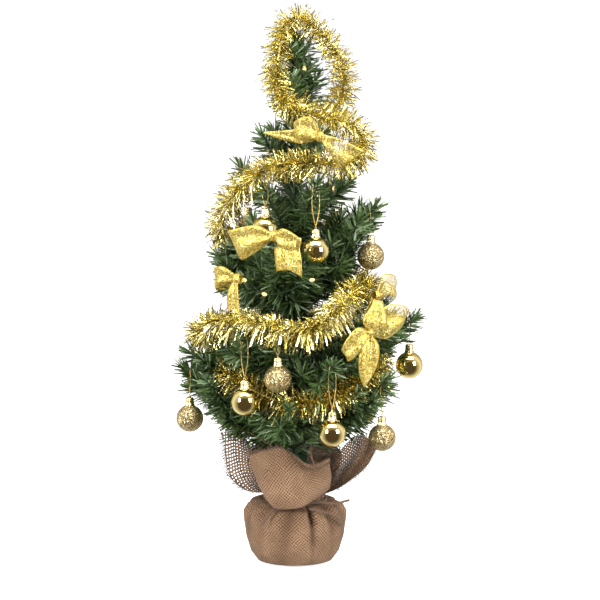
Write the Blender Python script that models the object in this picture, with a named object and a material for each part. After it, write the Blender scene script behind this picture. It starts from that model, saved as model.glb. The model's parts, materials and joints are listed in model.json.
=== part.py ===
"""Artificial tabletop tree in a burlap sack: a steel pole in a plaster weight, fifteen wired branches,
a tinsel garland, ribbon bows, hanging baubles and a battery light string.
Metres, +Z up, front towards -Y. The origin is the centre of the underside."""

import math

import bmesh
import bpy
from mathutils import Matrix, Vector

# ---------------------------------------------------------------- driving dimensions
GAP = 0.0003                    # left between pieces that touch

# sack, weight and pole
SACK_RADIUS = 0.053
SACK_HEIGHT = 0.060
FOOT_RADIUS = 0.034             # flat underside of the sack
NECK_RADIUS = 0.031
NECK_HEIGHT = 0.066
NECK_BAND = 0.008               # upright stretch of the neck, under the tie
BURLAP = 0.0014
WEIGHT_HEIGHT = 0.047
SOCKET_FLOOR = 0.008
TRUNK_RADIUS = 0.004
TRUNK_TOP = 0.335
TWINE = 0.0026
COLLAR_FOOT = NECK_HEIGHT + NECK_BAND

# rim of the burlap collar at the right, back, left and front: reach and height
COLLAR_RIM = ((0.086, 0.132), (0.070, 0.126), (0.078, 0.138), (0.058, 0.112))

# branches: foliage core on a bare wire
WIRE_RADIUS = 0.0015
BARE_LENGTH = 0.018
LEVEL_START = 0.003             # the wire leaves the pole level for this far
CORE_RADIUS = 0.0045
TIP_RADIUS = 0.0030
TWIG_RADIUS = 0.0030
TWIG_TIP = 0.0022
TWIG_SPREAD = 20.0              # degrees to each side of its branch
TWIG_REACH = 0.90               # share of the branch's reach
TIP_HEIGHT = 0.572              # top of the leader

# name: azimuth in degrees, height at the pole, reach, height of the tip
BRANCHES = {
    "branch_low_left": (193, 0.112, 0.121, 0.214),
    "branch_low_front": (266, 0.115, 0.098, 0.180),
    "branch_low_right": (330, 0.118, 0.112, 0.204),
    "branch_low_back_right": (44, 0.129, 0.108, 0.208),
    "branch_low_back_left": (136, 0.132, 0.106, 0.210),
    "branch_middle_left": (180, 0.165, 0.112, 0.228),
    "branch_middle_front_left": (240, 0.168, 0.109, 0.256),
    "branch_middle_front": (292, 0.171, 0.108, 0.224),
    "branch_middle_right": (354, 0.174, 0.128, 0.266),
    "branch_middle_back_right": (58, 0.177, 0.110, 0.246),
    "branch_middle_back_left": (120, 0.180, 0.108, 0.244),
    "branch_high_left": (170, 0.262, 0.084, 0.332),
    "branch_high_front": (256, 0.266, 0.074, 0.326),
    "branch_high_right": (350, 0.270, 0.088, 0.386),
    "branch_high_back": (80, 0.274, 0.084, 0.366),
}

# twigs wired to the leader: azimuth, height at the leader, reach, height of the tip
TOP_TWIGS = {
    "a": (240, 0.346, 0.066, 0.408),
    "b": (290, 0.352, 0.068, 0.412),
    "c": (345, 0.358, 0.058, 0.412),
    "d": (40, 0.364, 0.060, 0.408),
    "e": (95, 0.370, 0.060, 0.410),
    "f": (150, 0.376, 0.062, 0.406),
    "g": (215, 0.412, 0.042, 0.462),
    "h": (305, 0.418, 0.042, 0.464),
    "i": (35, 0.424, 0.042, 0.464),
    "j": (125, 0.430, 0.040, 0.466),
    "k": (260, 0.474, 0.024, 0.520),
    "l": (20, 0.480, 0.024, 0.522),
    "m": (140, 0.486, 0.024, 0.524),
}

# baubles
BALL_RADIUS = 0.0145
BALL_WALL = 0.0010
NECK_HOLE = 0.0027
CAP_RADIUS = 0.0038
CAP_HEIGHT = 0.0055
PLUG_LENGTH = 0.0030
THREAD_RADIUS = 0.0005
LOOP_PLAY = 0.0006              # between a thread loop and the branch in it
CAP_SEAT = math.sqrt(BALL_RADIUS ** 2 - NECK_HOLE ** 2) + GAP   # height of a cap above its ball's centre

BALL_SIDES = 12
OUTER_BANDS = 6
INNER_BANDS = 4

# where each bauble hangs: branch or leader twig, strand, place along it, length of thread, finish
BAUBLES = (
    ("b", "top", 0.94, 0.046, "shiny"),
    ("branch_high_right", "main", 0.93, 0.024, "glitter"),
    ("a", "top", 0.94, 0.020, "shiny"),
    ("branch_middle_front_left", "right", 0.95, 0.014, "glitter"),
    ("branch_middle_front_left", "main", 0.96, 0.046, "shiny"),
    ("branch_low_left", "main", 0.95, 0.028, "glitter"),
    ("branch_middle_right", "main", 0.96, 0.026, "shiny"),
    ("branch_middle_front", "main", 0.96, 0.048, "shiny"),
    ("branch_low_right", "main", 0.95, 0.036, "glitter"),
    ("branch_low_back_right", "main", 0.95, 0.030, "shiny"),
    ("branch_low_back_left", "main", 0.95, 0.034, "glitter"),
    ("branch_middle_back_left", "left", 0.95, 0.024, "shiny"),
    ("f", "top", 0.94, 0.024, "glitter"),
    ("d", "top", 0.94, 0.024, "shiny"),
)

# tinsel garland: its dense middle, from the end beside the top down to the lower front
GARLAND_RADIUS = 0.007
GARLAND_POINTS = 76
GARLAND_ROUTE = (
    (0.030, 0.020, 0.478), (0.045, 0.012, 0.494), (0.052, 0.006, 0.514), (0.050, 0.001, 0.536),
    (0.039, -0.001, 0.556), (0.023, -0.002, 0.574), (0.006, -0.003, 0.587), (-0.009, -0.006, 0.581),
    (-0.016, -0.011, 0.561), (-0.019, -0.014, 0.538), (-0.018, -0.018, 0.515), (-0.009, -0.025, 0.496),
    (0.010, -0.029, 0.486), (0.034, -0.027, 0.480), (0.057, -0.019, 0.474), (0.070, -0.010, 0.462),
    (0.071, -0.017, 0.446), (0.060, -0.035, 0.436), (0.038, -0.050, 0.433), (0.012, -0.057, 0.434),
    (-0.016, -0.055, 0.432), (-0.040, -0.045, 0.421), (-0.058, -0.030, 0.406), (-0.072, -0.014, 0.387),
    (-0.079, 0.004, 0.366), (-0.077, 0.022, 0.351), (-0.066, 0.042, 0.339), (-0.044, 0.062, 0.324),
    (-0.016, 0.075, 0.314), (0.013, 0.077, 0.309), (0.041, 0.067, 0.305), (0.061, 0.049, 0.302),
    (0.073, 0.026, 0.300), (0.077, 0.000, 0.299), (0.071, -0.026, 0.298), (0.061, -0.048, 0.296),
    (0.052, -0.068, 0.291), (0.044, -0.082, 0.282), (0.028, -0.092, 0.270), (0.009, -0.096, 0.262),
    (-0.013, -0.096, 0.264), (-0.034, -0.091, 0.270), (-0.056, -0.082, 0.272), (-0.076, -0.066, 0.268),
    (-0.092, -0.043, 0.259), (-0.099, -0.015, 0.250), (-0.098, 0.013, 0.249), (-0.090, 0.040, 0.252),
    (-0.072, 0.062, 0.256), (-0.048, 0.078, 0.259), (-0.020, 0.088, 0.260), (0.010, 0.090, 0.260),
    (0.040, 0.082, 0.258), (0.064, 0.065, 0.252), (0.080, 0.041, 0.239), (0.087, 0.015, 0.225),
    (0.090, -0.010, 0.217), (0.086, -0.031, 0.213), (0.077, -0.048, 0.208), (0.066, -0.060, 0.202),
    (0.052, -0.070, 0.195), (0.036, -0.077, 0.189), (0.018, -0.082, 0.185), (0.000, -0.084, 0.184),
    (-0.018, -0.082, 0.186), (-0.036, -0.076, 0.192), (-0.052, -0.066, 0.200), (-0.064, -0.054, 0.207),
    (-0.072, -0.042, 0.212),
)

# light string: a place where the wire runs, and whether a lamp sits there
STRING_RADIUS = 0.0006
LAMP_RADIUS = 0.0024
LAMP_LENGTH = 0.0080
STRING_ROUTE = (
    (-0.009, 0.0138, 0.129, False), (-0.022, 0.006, 0.144, False), (-0.040, 0.008, 0.164, True),
    (-0.064, -0.002, 0.188, False), (-0.080, -0.024, 0.203, True), (-0.062, -0.040, 0.192, False),
    (-0.038, -0.056, 0.186, False), (-0.012, -0.060, 0.182, True), (0.018, -0.060, 0.182, False),
    (0.046, -0.046, 0.188, False), (0.066, -0.030, 0.188, False), (0.090, -0.036, 0.184, True),
    (0.086, -0.024, 0.198, False), (0.072, -0.008, 0.194, False), (0.064, 0.022, 0.194, True),
    (0.042, 0.050, 0.196, False), (0.010, 0.062, 0.196, True), (-0.024, 0.058, 0.196, False),
    (-0.054, 0.036, 0.206, True),
    (-0.066, 0.028, 0.238, False), (-0.070, 0.004, 0.276, True), (-0.074, -0.020, 0.302, False),
    (-0.072, -0.040, 0.310, True), (-0.053, -0.062, 0.311, True), (-0.032, -0.072, 0.297, True),
    (-0.008, -0.072, 0.300, False), (0.018, -0.073, 0.312, True), (0.040, -0.054, 0.308, False),
    (0.062, -0.026, 0.284, False), (0.090, -0.016, 0.282, True), (0.068, 0.008, 0.278, False),
    (0.054, 0.036, 0.280, True), (0.020, 0.058, 0.286, False), (-0.018, 0.058, 0.294, True),
    (-0.034, 0.040, 0.318, False), (-0.036, 0.010, 0.340, True), (-0.024, -0.026, 0.348, False),
    (0.004, -0.036, 0.352, True), (0.030, -0.024, 0.364, False), (0.038, 0.004, 0.380, False),
    (0.042, 0.008, 0.404, True), (0.042, -0.006, 0.430, False), (0.036, -0.022, 0.452, True),
    (0.020, 0.000, 0.476, False), (0.012, -0.008, 0.505, False), (0.010, -0.010, 0.532, True),
)

# bows: name, centre, the way it faces in degrees, its roll, and the distance from knot to loop end
BOW_DEPTH = 0.006
BOWS = (
    ("bow_top", (0.026, -0.070, 0.462), 280, 8, 0.036),
    ("bow_left", (-0.022, -0.096, 0.360), 258, -18, 0.040),
    ("bow_left_small", (-0.074, -0.070, 0.308), 224, 20, 0.026),
    ("bow_right", (0.080, -0.098, 0.262), 308, 30, 0.036),
    ("bow_right_small", (0.092, -0.044, 0.296), 336, 24, 0.024),
)
# half of a bow's outline, in knot-to-loop-end lengths, from the top of the knot to the notch below it
BOW_OUTLINE = (
    (0.00, 0.12), (0.14, 0.13), (0.55, 0.42), (0.88, 0.36), (1.00, 0.04), (0.86, -0.26), (0.50, -0.24),
    (0.30, -0.18), (0.66, -0.86), (0.50, -0.92), (0.34, -1.02), (0.06, -0.30),
)

# battery box behind the pole
CELL_RADIUS = 0.00525
CELL_LENGTH = 0.0445
BOX_WALL = 0.0014
BOX_FLOOR_Z = 0.074
COVER_THICKNESS = 0.0014
SWITCH_TRAVEL = 0.003


# ---------------------------------------------------------------- helpers
def clear_scene():
    for old in list(bpy.data.objects):
        bpy.data.objects.remove(old, do_unlink=True)


def material(name, colour, roughness, metallic=0.0):
    made = bpy.data.materials.new(name)
    made.use_nodes = True
    shader = made.node_tree.nodes["Principled BSDF"]
    shader.inputs["Base Color"].default_value = (*colour, 1.0)
    shader.inputs["Roughness"].default_value = roughness
    shader.inputs["Metallic"].default_value = metallic
    return made


def add_object(name, data, finish):
    obj = bpy.data.objects.new(name, data)
    bpy.context.scene.collection.objects.link(obj)
    data.materials.append(finish)
    return obj


def mesh_object(name, points, faces, finish, smooth=40.0):
    """A mesh with its faces turned outwards, shaded smooth where it is round."""
    mesh = bpy.data.meshes.new(name)
    mesh.from_pydata([tuple(p) for p in points], [], faces)
    shape = bmesh.new()
    shape.from_mesh(mesh)
    bmesh.ops.recalc_face_normals(shape, faces=shape.faces)
    shape.to_mesh(mesh)
    shape.free()
    mesh.shade_smooth()
    mesh.set_sharp_from_angle(angle=math.radians(smooth))
    return add_object(name, mesh, finish)


def polar(radius, azimuth, height):
    angle = math.radians(azimuth)
    return Vector((radius * math.cos(angle), radius * math.sin(angle), height))


def turned(profile, sides):
    """Points and faces of a turned solid. The profile is (radius, height), with both ends on the axis."""
    points, rings = [], []
    for radius, height in profile:
        count = 1 if radius == 0 else sides
        rings.append(range(len(points), len(points) + count))
        points += [polar(radius, 360 * k / sides, height) for k in range(count)]
    faces = []
    for upper, lower in zip(rings, rings[1:]):
        for k in range(sides):
            a, b = upper[k % len(upper)], upper[(k + 1) % len(upper)]
            c, d = lower[(k + 1) % len(lower)], lower[k % len(lower)]
            faces.append(tuple(dict.fromkeys((a, b, c, d))))
    return points, faces


def swept(route, radii, sides):
    """Points and faces of a closed round strand along a route, with a radius at each of its points."""
    side, points, faces = None, [], []
    for k, here in enumerate(route):
        ahead = (route[min(k + 1, len(route) - 1)] - route[max(k - 1, 0)]).normalized()
        if side is None:
            side = ahead.orthogonal()
        side = (side - ahead * side.dot(ahead)).normalized()
        other = ahead.cross(side)
        for n in range(sides):
            turn = 2 * math.pi * n / sides
            points.append(here + radii[k] * (side * math.cos(turn) + other * math.sin(turn)))
    for k in range(len(route) - 1):
        for n in range(sides):
            m = (n + 1) % sides
            faces.append((k * sides + n, k * sides + m, (k + 1) * sides + m, (k + 1) * sides + n))
    faces.append(tuple(range(sides)))
    faces.append(tuple(range(len(points) - sides, len(points))))
    return points, faces


def joined(shapes):
    """Several point and face lists as one."""
    points, faces = [], []
    for more_points, more_faces in shapes:
        start = len(points)
        points += more_points
        faces += [tuple(start + k for k in face) for face in more_faces]
    return points, faces


def boxed(low, high):
    """Points and faces of a box between two corners."""
    points = [(x, y, z) for x in (low[0], high[0]) for y in (low[1], high[1]) for z in (low[2], high[2])]
    faces = [(0, 1, 3, 2), (4, 6, 7, 5), (0, 4, 5, 1), (2, 3, 7, 6), (0, 2, 6, 4), (1, 5, 7, 3)]
    return points, faces


def combine(obj, shape, operation, finish):
    """Adds a hidden helper shape to an object's Boolean modifiers."""
    helper = mesh_object(f"{obj.name}_{operation.lower()}_{len(obj.modifiers)}", *shape, finish)
    helper.hide_render = True
    helper.display_type = "WIRE"
    boolean = obj.modifiers.new("combine", "BOOLEAN")
    boolean.operation = operation
    boolean.object = helper
    boolean.solver = "EXACT"


def smooth_route(route, count):
    """Evenly spaced points on a smooth curve through the route's own points."""
    fine = []
    for k in range(len(route) - 1):
        before, start = route[max(k - 1, 0)], route[k]
        end, after = route[k + 1], route[min(k + 2, len(route) - 1)]
        for step in range(12):
            t = step / 12
            bend = 2 * before - 5 * start + 4 * end - after
            twist = 3 * (start - end) + after - before
            fine.append(start + 0.5 * ((end - before) * t + bend * t * t + twist * t ** 3))
    fine.append(route[-1])
    lengths = [0.0]
    for a, b in zip(fine, fine[1:]):
        lengths.append(lengths[-1] + (b - a).length)
    points, k = [], 0
    for n in range(count):
        wanted = lengths[-1] * n / (count - 1)
        while k < len(fine) - 2 and lengths[k + 1] < wanted:
            k += 1
        share = (wanted - lengths[k]) / (lengths[k + 1] - lengths[k])
        points.append(fine[k].lerp(fine[k + 1], min(share, 1.0)))
    return points


def cord(name, points, radius, finish, widths=None):
    """A round cord as a poly curve with filled ends. Widths are shares of the radius, one for each point."""
    curve = bpy.data.curves.new(name, "CURVE")
    curve.dimensions = "3D"
    curve.bevel_depth = radius
    curve.bevel_resolution = 2
    curve.use_fill_caps = True
    spline = curve.splines.new("POLY")
    spline.points.add(len(points) - 1)
    for k, (target, place) in enumerate(zip(spline.points, points)):
        target.co = (*place, 1.0)
        target.radius = widths[k] if widths else 1.0
    return add_object(name, curve, finish)


# ---------------------------------------------------------------- foot
def make_weight(finish):
    """Cast plaster weight with a socket for the pole."""
    low = BURLAP + GAP
    top = low + WEIGHT_HEIGHT
    radius = SACK_RADIUS - BURLAP - 0.0035
    socket = TRUNK_RADIUS + GAP
    profile = [(0, SOCKET_FLOOR), (socket, SOCKET_FLOOR), (socket, top), (radius * 0.74, top)]
    profile += [(radius * 0.93, top - 0.006), (radius, top - 0.016), (radius, low + 0.022)]
    profile += [(FOOT_RADIUS + 0.006, low + 0.0045), (FOOT_RADIUS, low), (0, low)]
    mesh_object("base_weight", *turned(profile, 28), finish)


def rim_at(azimuth):
    """Reach and height of the collar's rim, eased between its four corners."""
    quarter, share = divmod((azimuth % 360) / 90, 1)
    ease = 0.5 - 0.5 * math.cos(math.pi * share)
    a, b = COLLAR_RIM[int(quarter)], COLLAR_RIM[(int(quarter) + 1) % 4]
    return a[0] + (b[0] - a[0]) * ease, a[1] + (b[1] - a[1]) * ease


def make_burlap(finish):
    """One cloth gathered round the weight, tied at the neck and opening into a collar."""
    sides = 24
    bag = [(0, 0), (FOOT_RADIUS * 0.5, 0), (FOOT_RADIUS, 0), (FOOT_RADIUS + 0.009, 0.003)]
    bag += [(SACK_RADIUS - 0.003, 0.016), (SACK_RADIUS, 0.030), (SACK_RADIUS - 0.001, 0.042)]
    bag += [(SACK_RADIUS - 0.006, SACK_HEIGHT - 0.007), ((SACK_RADIUS + NECK_RADIUS) / 2, SACK_HEIGHT)]
    bag += [(NECK_RADIUS, NECK_HEIGHT), (NECK_RADIUS, COLLAR_FOOT)]
    points, faces = turned(bag, sides)
    last = len(points) - sides
    for step in (0.15, 0.45, 0.75, 1.0):
        for k in range(sides):
            reach, height = rim_at(360 * k / sides)
            radius = NECK_RADIUS + (reach - NECK_RADIUS) * step ** 1.15
            points.append(polar(radius, 360 * k / sides, COLLAR_FOOT + (height - COLLAR_FOOT) * step))
        ring = last + sides
        for k in range(sides):
            n = (k + 1) % sides
            faces.append((last + k, last + n, ring + n, ring + k))
        last = ring
    cloth = mesh_object("burlap_wrap", points, faces, finish)
    if cloth.data.polygons[0].normal.z > 0:
        cloth.data.flip_normals()
    skin = cloth.modifiers.new("thickness", "SOLIDIFY")
    skin.thickness = BURLAP
    skin.offset = -1.0
    skin.use_even_offset = True


def make_tie(finish):
    """Jute twine once round the neck, crossing at the front, with two loose ends."""
    around = NECK_RADIUS + TWINE / 2 + GAP + 0.0006
    left_end = ((-0.036, -0.056, 0.050), (-0.024, -0.050, 0.0625), (-0.011, -0.041, 0.068))
    right_end = ((0.012, -0.0395, 0.0740), (0.028, -0.046, 0.0725), (0.044, -0.044, 0.0715))
    right_end += ((0.058, -0.036, 0.0735),)
    route = [Vector(point) for point in left_end]
    start = NECK_HEIGHT + TWINE / 2 + 0.0008
    for k in range(1, 14):
        turn = k / 14
        route.append(polar(around + 0.003 * (1 - turn) ** 6, 270 + 360 * turn, start + 1.8 * TWINE * turn))
    route += [Vector(point) for point in right_end]
    cord("jute_tie", smooth_route(route, 38), TWINE / 2, finish)


def make_pole(finish):
    profile = [(0, TRUNK_TOP), (TRUNK_RADIUS, TRUNK_TOP), (TRUNK_RADIUS, SOCKET_FLOOR + GAP)]
    profile += [(0, SOCKET_FLOOR + GAP)]
    mesh_object("trunk_pole", *turned(profile, 12), finish)


# ---------------------------------------------------------------- branches
def climb(share):
    """Rise along a branch, as a share of its whole rise: a little steeper towards the tip."""
    return 0.85 * share + 0.15 * share * share


def branch_point(name, share):
    azimuth, root, reach, tip = BRANCHES[name]
    start = TRUNK_RADIUS + GAP
    return polar(start + (reach - start) * share, azimuth, root + (tip - root) * climb(share))


def twig_ends(name, side):
    """Where a side twig leaves its branch and where it ends."""
    azimuth, root, reach, tip = BRANCHES[name]
    leaves = branch_point(name, 0.42 if side == "left" else 0.54)
    spread = -TWIG_SPREAD if side == "left" else TWIG_SPREAD
    end = polar(reach * TWIG_REACH, azimuth + spread, root + (tip - root) * climb(TWIG_REACH))
    return leaves, end


def make_branch(name, finish):
    """A bare wire at the pole, then the foliage core and its two side twigs."""
    azimuth, root, reach, _ = BRANCHES[name]
    bare = BARE_LENGTH / reach
    route = [polar(TRUNK_RADIUS + GAP, azimuth, root), polar(TRUNK_RADIUS + LEVEL_START, azimuth, root)]
    route += [branch_point(name, share) for share in (bare, bare + 0.07, 0.40, 0.70, 1.0)]
    radii = [WIRE_RADIUS] * 3 + [CORE_RADIUS] * 2 + [(CORE_RADIUS + TIP_RADIUS) / 2, TIP_RADIUS]
    branch = mesh_object(name, *swept(route, radii, 6), finish)
    twigs = []
    for side in ("left", "right"):
        leaves, end = twig_ends(name, side)
        twigs.append(swept([leaves, leaves.lerp(end, 0.5), end], (TWIG_RADIUS, TWIG_RADIUS, TWIG_TIP), 6))
    combine(branch, joined(twigs), "UNION", finish)


def top_twig_point(key, share):
    azimuth, root, reach, tip = TOP_TWIGS[key]
    start = 0.0015
    return polar(start + (reach - start) * share, azimuth, root + (tip - root) * climb(share))


def make_top(finish):
    """The leader, which stands on the pole, with its short twigs."""
    foot = TRUNK_TOP + GAP
    heights = (foot, foot + 0.03, foot + (TIP_HEIGHT - foot) * 0.6, TIP_HEIGHT)
    radii = (TRUNK_RADIUS, CORE_RADIUS, CORE_RADIUS * 0.85, TIP_RADIUS * 0.8)
    top = mesh_object("tree_top", *swept([Vector((0, 0, z)) for z in heights], radii, 8), finish)
    twigs = []
    for key in TOP_TWIGS:
        route = [top_twig_point(key, share) for share in (0.0, 0.5, 1.0)]
        twigs.append(swept(route, (TWIG_TIP, TWIG_RADIUS * 0.9, TWIG_TIP), 6))
    combine(top, joined(twigs), "UNION", finish)


# ---------------------------------------------------------------- baubles
def hang_place(host, strand, share):
    """The point on a strand's middle line where a loop hangs, and the strand's direction there."""
    if strand == "top":
        return top_twig_point(host, share), top_twig_point(host, 1.0) - top_twig_point(host, 0.9)
    if strand == "main":
        return branch_point(host, share), branch_point(host, 1.0) - branch_point(host, 0.9)
    leaves, end = twig_ends(host, strand)
    return leaves.lerp(end, share), end - leaves


def bauble_frame(number):
    """Hang point, level direction of the branch there, radius of the loop's arch, and ball centre."""
    host, strand, share, thread, _ = BAUBLES[number]
    place, along = hang_place(host, strand, share)
    level = Vector((along.x, along.y, 0)).normalized()
    steep = along.length / Vector((along.x, along.y, 0)).length
    core = (TIP_RADIUS + 0.0002) if strand == "main" else (TWIG_TIP + 0.0002)
    arch = core * steep + LOOP_PLAY + THREAD_RADIUS
    centre = place - Vector((0, 0, thread + CAP_HEIGHT + CAP_SEAT))
    return place, level, arch, centre


def make_bauble(number, ball_finish, cap_finish):
    """A hollow ball with an open neck, and its plugged cap with a doubled thread looped over the branch."""
    place, level, arch, centre = bauble_frame(number)
    inner = BALL_RADIUS - BALL_WALL
    outer_top = math.asin(NECK_HOLE / BALL_RADIUS)
    inner_top = math.asin(NECK_HOLE / inner)
    profile = []
    for k in range(OUTER_BANDS + 1):
        angle = outer_top + (math.pi - outer_top) * k / OUTER_BANDS
        across = 0 if k == OUTER_BANDS else BALL_RADIUS * math.sin(angle)
        profile.append((across, BALL_RADIUS * math.cos(angle)))
    inside = []
    for k in range(INNER_BANDS + 1):
        angle = inner_top + (math.pi - inner_top) * k / INNER_BANDS
        across = 0 if k == INNER_BANDS else inner * math.sin(angle)
        inside.append((across, inner * math.cos(angle)))
    ball_name = f"bauble_{number + 1:02d}"
    ball = mesh_object(ball_name, *turned(inside[::-1] + profile, BALL_SIDES), ball_finish)
    ball.location = centre

    plug = NECK_HOLE - GAP
    top = CAP_SEAT + CAP_HEIGHT
    end = CAP_SEAT - PLUG_LENGTH
    crown = [(0, top), (CAP_RADIUS, top), (CAP_RADIUS, CAP_SEAT)]
    cap = turned(crown + [(plug, CAP_SEAT), (plug, end), (0, end)], 8)
    across = level.cross(Vector((0, 0, 1)))
    hang = place - centre
    route = [Vector((0, 0, top - 0.001)) + across * -0.001]
    for k in range(7):
        turn = math.radians(200 - 220 * k / 6)
        route.append(hang + (across * math.cos(turn) + Vector((0, 0, 1)) * math.sin(turn)) * arch)
    route.append(Vector((0, 0, top - 0.001)) + across * 0.001)
    hanger = mesh_object(f"{ball_name}_hanger", *cap, cap_finish)
    combine(hanger, swept(route, [THREAD_RADIUS] * len(route), 5), "UNION", cap_finish)
    for obj in (hanger, bpy.data.objects[f"{ball_name}_hanger_union_0"]):
        obj.location = centre


# ---------------------------------------------------------------- garland, lights, bows
def make_garland(finish):
    route = smooth_route([Vector(point) for point in GARLAND_ROUTE], GARLAND_POINTS)
    cord("tinsel_garland", route, GARLAND_RADIUS, finish)


def make_light_string(finish):
    """Copper wire that swells into a lamp at each lamp's place."""
    places = [Vector(point[:3]) for point in STRING_ROUTE]
    places.insert(0, box_exit())
    lamps = [False] + [point[3] for point in STRING_ROUTE]
    points, widths = [], []
    for k, (place, lamp) in enumerate(zip(places, lamps)):
        ahead = (places[min(k + 1, len(places) - 1)] - places[max(k - 1, 0)]).normalized()
        if lamp:
            for offset, width in ((-0.5, 1.0), (-0.1, LAMP_RADIUS / STRING_RADIUS), (0.5, 1.0)):
                points.append(place + ahead * LAMP_LENGTH * offset)
                widths.append(width)
        else:
            points.append(place)
            widths.append(1.0)
    cord("light_string", points, STRING_RADIUS, finish, widths)


def make_bow(name, centre, facing, roll, size, finish):
    """A flat bow with two loops and two tails, thick enough for the ribbon's folds."""
    outline = list(BOW_OUTLINE) + [(0.0, -0.16)] + [(-x, y) for x, y in BOW_OUTLINE[:0:-1]]
    count = len(outline)
    points = [(x * size, y * size, z) for z in (-BOW_DEPTH / 2, BOW_DEPTH / 2) for x, y in outline]
    faces = [tuple(range(count)), tuple(range(count, 2 * count))]
    for k in range(count):
        n = (k + 1) % count
        faces.append((k, n, count + n, count + k))
    bow = mesh_object(name, points, faces, finish, smooth=30.0)
    stand = Matrix.Rotation(math.radians(90), 4, "X")
    turn = Matrix.Rotation(math.radians(facing + 90), 4, "Z")
    bow.matrix_world = Matrix.Translation(centre) @ turn @ stand @ Matrix.Rotation(math.radians(roll), 4, "Z")


# ---------------------------------------------------------------- battery box
def box_corners():
    """Outer low and high corners of the box, which leans against the pole."""
    width = 4 * CELL_RADIUS + 3 * 0.0006 + 2 * BOX_WALL
    depth = 2 * CELL_RADIUS + 2 * 0.0006 + BOX_WALL
    height = CELL_LENGTH + 2 * 0.0006 + 2 * BOX_WALL
    front = TRUNK_RADIUS + GAP + 0.003
    return (-width / 2, front, BOX_FLOOR_Z), (width / 2, front + depth, BOX_FLOOR_Z + height)


def box_exit():
    """Where the light string leaves the top of the box."""
    low, high = box_corners()
    return Vector((low[0] + 0.004, (low[1] + high[1]) / 2, high[2] + 2 * GAP))


def make_battery_box(case_finish, cell_finish):
    low, high = box_corners()
    box = mesh_object("battery_box", *boxed(low, high), case_finish)
    inside = (low[0] + BOX_WALL, low[1] + BOX_WALL, low[2] + BOX_WALL)
    mouth = (high[0] - BOX_WALL, high[1] + 0.002, high[2] - BOX_WALL)
    combine(box, boxed(inside, mouth), "DIFFERENCE", case_finish)
    saddle = boxed((-0.004, 0.0015, low[2] + 0.006), (0.004, low[1] + 0.0005, high[2] - 0.006))
    combine(box, saddle, "UNION", case_finish)
    groove = swept([Vector((0, 0, low[2])), Vector((0, 0, high[2]))], [TRUNK_RADIUS + GAP + 0.0002] * 2, 24)
    combine(box, groove, "DIFFERENCE", case_finish)

    slot_z = high[2] - 0.016
    slot_low = (high[0] - 0.003, low[1] + 0.004, slot_z - 0.004)
    slot_high = (high[0] + 0.002, low[1] + 0.008, slot_z + 0.004)
    combine(box, boxed(slot_low, slot_high), "DIFFERENCE", case_finish)
    knob_half = 0.004 - SWITCH_TRAVEL / 2 - GAP
    knob_z = slot_z - SWITCH_TRAVEL / 2
    mesh_object("battery_switch", *boxed(
        (high[0] - BOX_WALL, low[1] + 0.004 + GAP, knob_z - knob_half),
        (high[0] + 0.0015, low[1] + 0.008 - GAP, knob_z + knob_half)), case_finish)

    cover_low = (low[0], high[1] + GAP, low[2])
    cover_high = (high[0], high[1] + GAP + COVER_THICKNESS, high[2])
    cover = mesh_object("battery_cover", *boxed(cover_low, cover_high), case_finish)
    for step in range(3):
        z = high[2] - 0.006 - 0.003 * step
        rib = boxed((-0.006, cover_high[1] - 0.0004, z), (0.006, cover_high[1] + 0.0006, z + 0.001))
        combine(cover, rib, "UNION", case_finish)

    for number, sign in ((1, -1), (2, 1)):
        middle_y = low[1] + BOX_WALL + 0.0006 + CELL_RADIUS
        foot = low[2] + BOX_WALL + 0.0006
        head = foot + CELL_LENGTH
        profile = [(0, head), (0.0019, head), (0.0019, head - 0.0012), (CELL_RADIUS, head - 0.0012)]
        profile += [(CELL_RADIUS, foot), (0, foot)]
        points, faces = turned(profile, 14)
        shift = Vector((sign * (CELL_RADIUS + 0.0003), middle_y, 0))
        mesh_object(f"battery_cell_{number}", [point + shift for point in points], faces, cell_finish)


# ---------------------------------------------------------------- assembly
def build():
    clear_scene()
    foliage = material("foliage", (0.035, 0.110, 0.045), 0.60)
    gold = material("gold_ball", (0.90, 0.62, 0.22), 0.12, 1.0)
    glitter = material("gold_glitter", (0.72, 0.54, 0.24), 0.45, 0.8)
    cap = material("gold_cap", (0.82, 0.56, 0.18), 0.25, 0.9)
    case = material("battery_case", (0.05, 0.16, 0.07), 0.50)

    make_weight(material("plaster", (0.72, 0.70, 0.66), 0.80))
    make_burlap(material("burlap", (0.47, 0.33, 0.21), 0.90))
    make_tie(material("jute_twine", (0.42, 0.29, 0.17), 0.90))
    make_pole(material("green_steel", (0.08, 0.14, 0.07), 0.50, 0.6))
    for name in BRANCHES:
        make_branch(name, foliage)
    make_top(foliage)
    for number, bauble in enumerate(BAUBLES):
        make_bauble(number, gold if bauble[4] == "shiny" else glitter, cap)
    make_garland(material("tinsel", (0.85, 0.60, 0.15), 0.25, 0.9))
    make_light_string(material("copper_wire", (0.70, 0.38, 0.20), 0.35, 0.9))
    ribbon = material("gold_ribbon", (0.82, 0.66, 0.22), 0.40, 0.6)
    for bow in BOWS:
        make_bow(*bow, ribbon)
    make_battery_box(case, material("cell_sleeve", (0.10, 0.10, 0.12), 0.35, 0.3))


build()
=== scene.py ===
"""Looks of the artificial tabletop tree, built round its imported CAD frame.
Metres, +Z up, front towards -Y, in the frame of the CAD parts."""

import json
import math

import bpy
import numpy as np
from mathutils import Matrix, Vector


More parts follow.
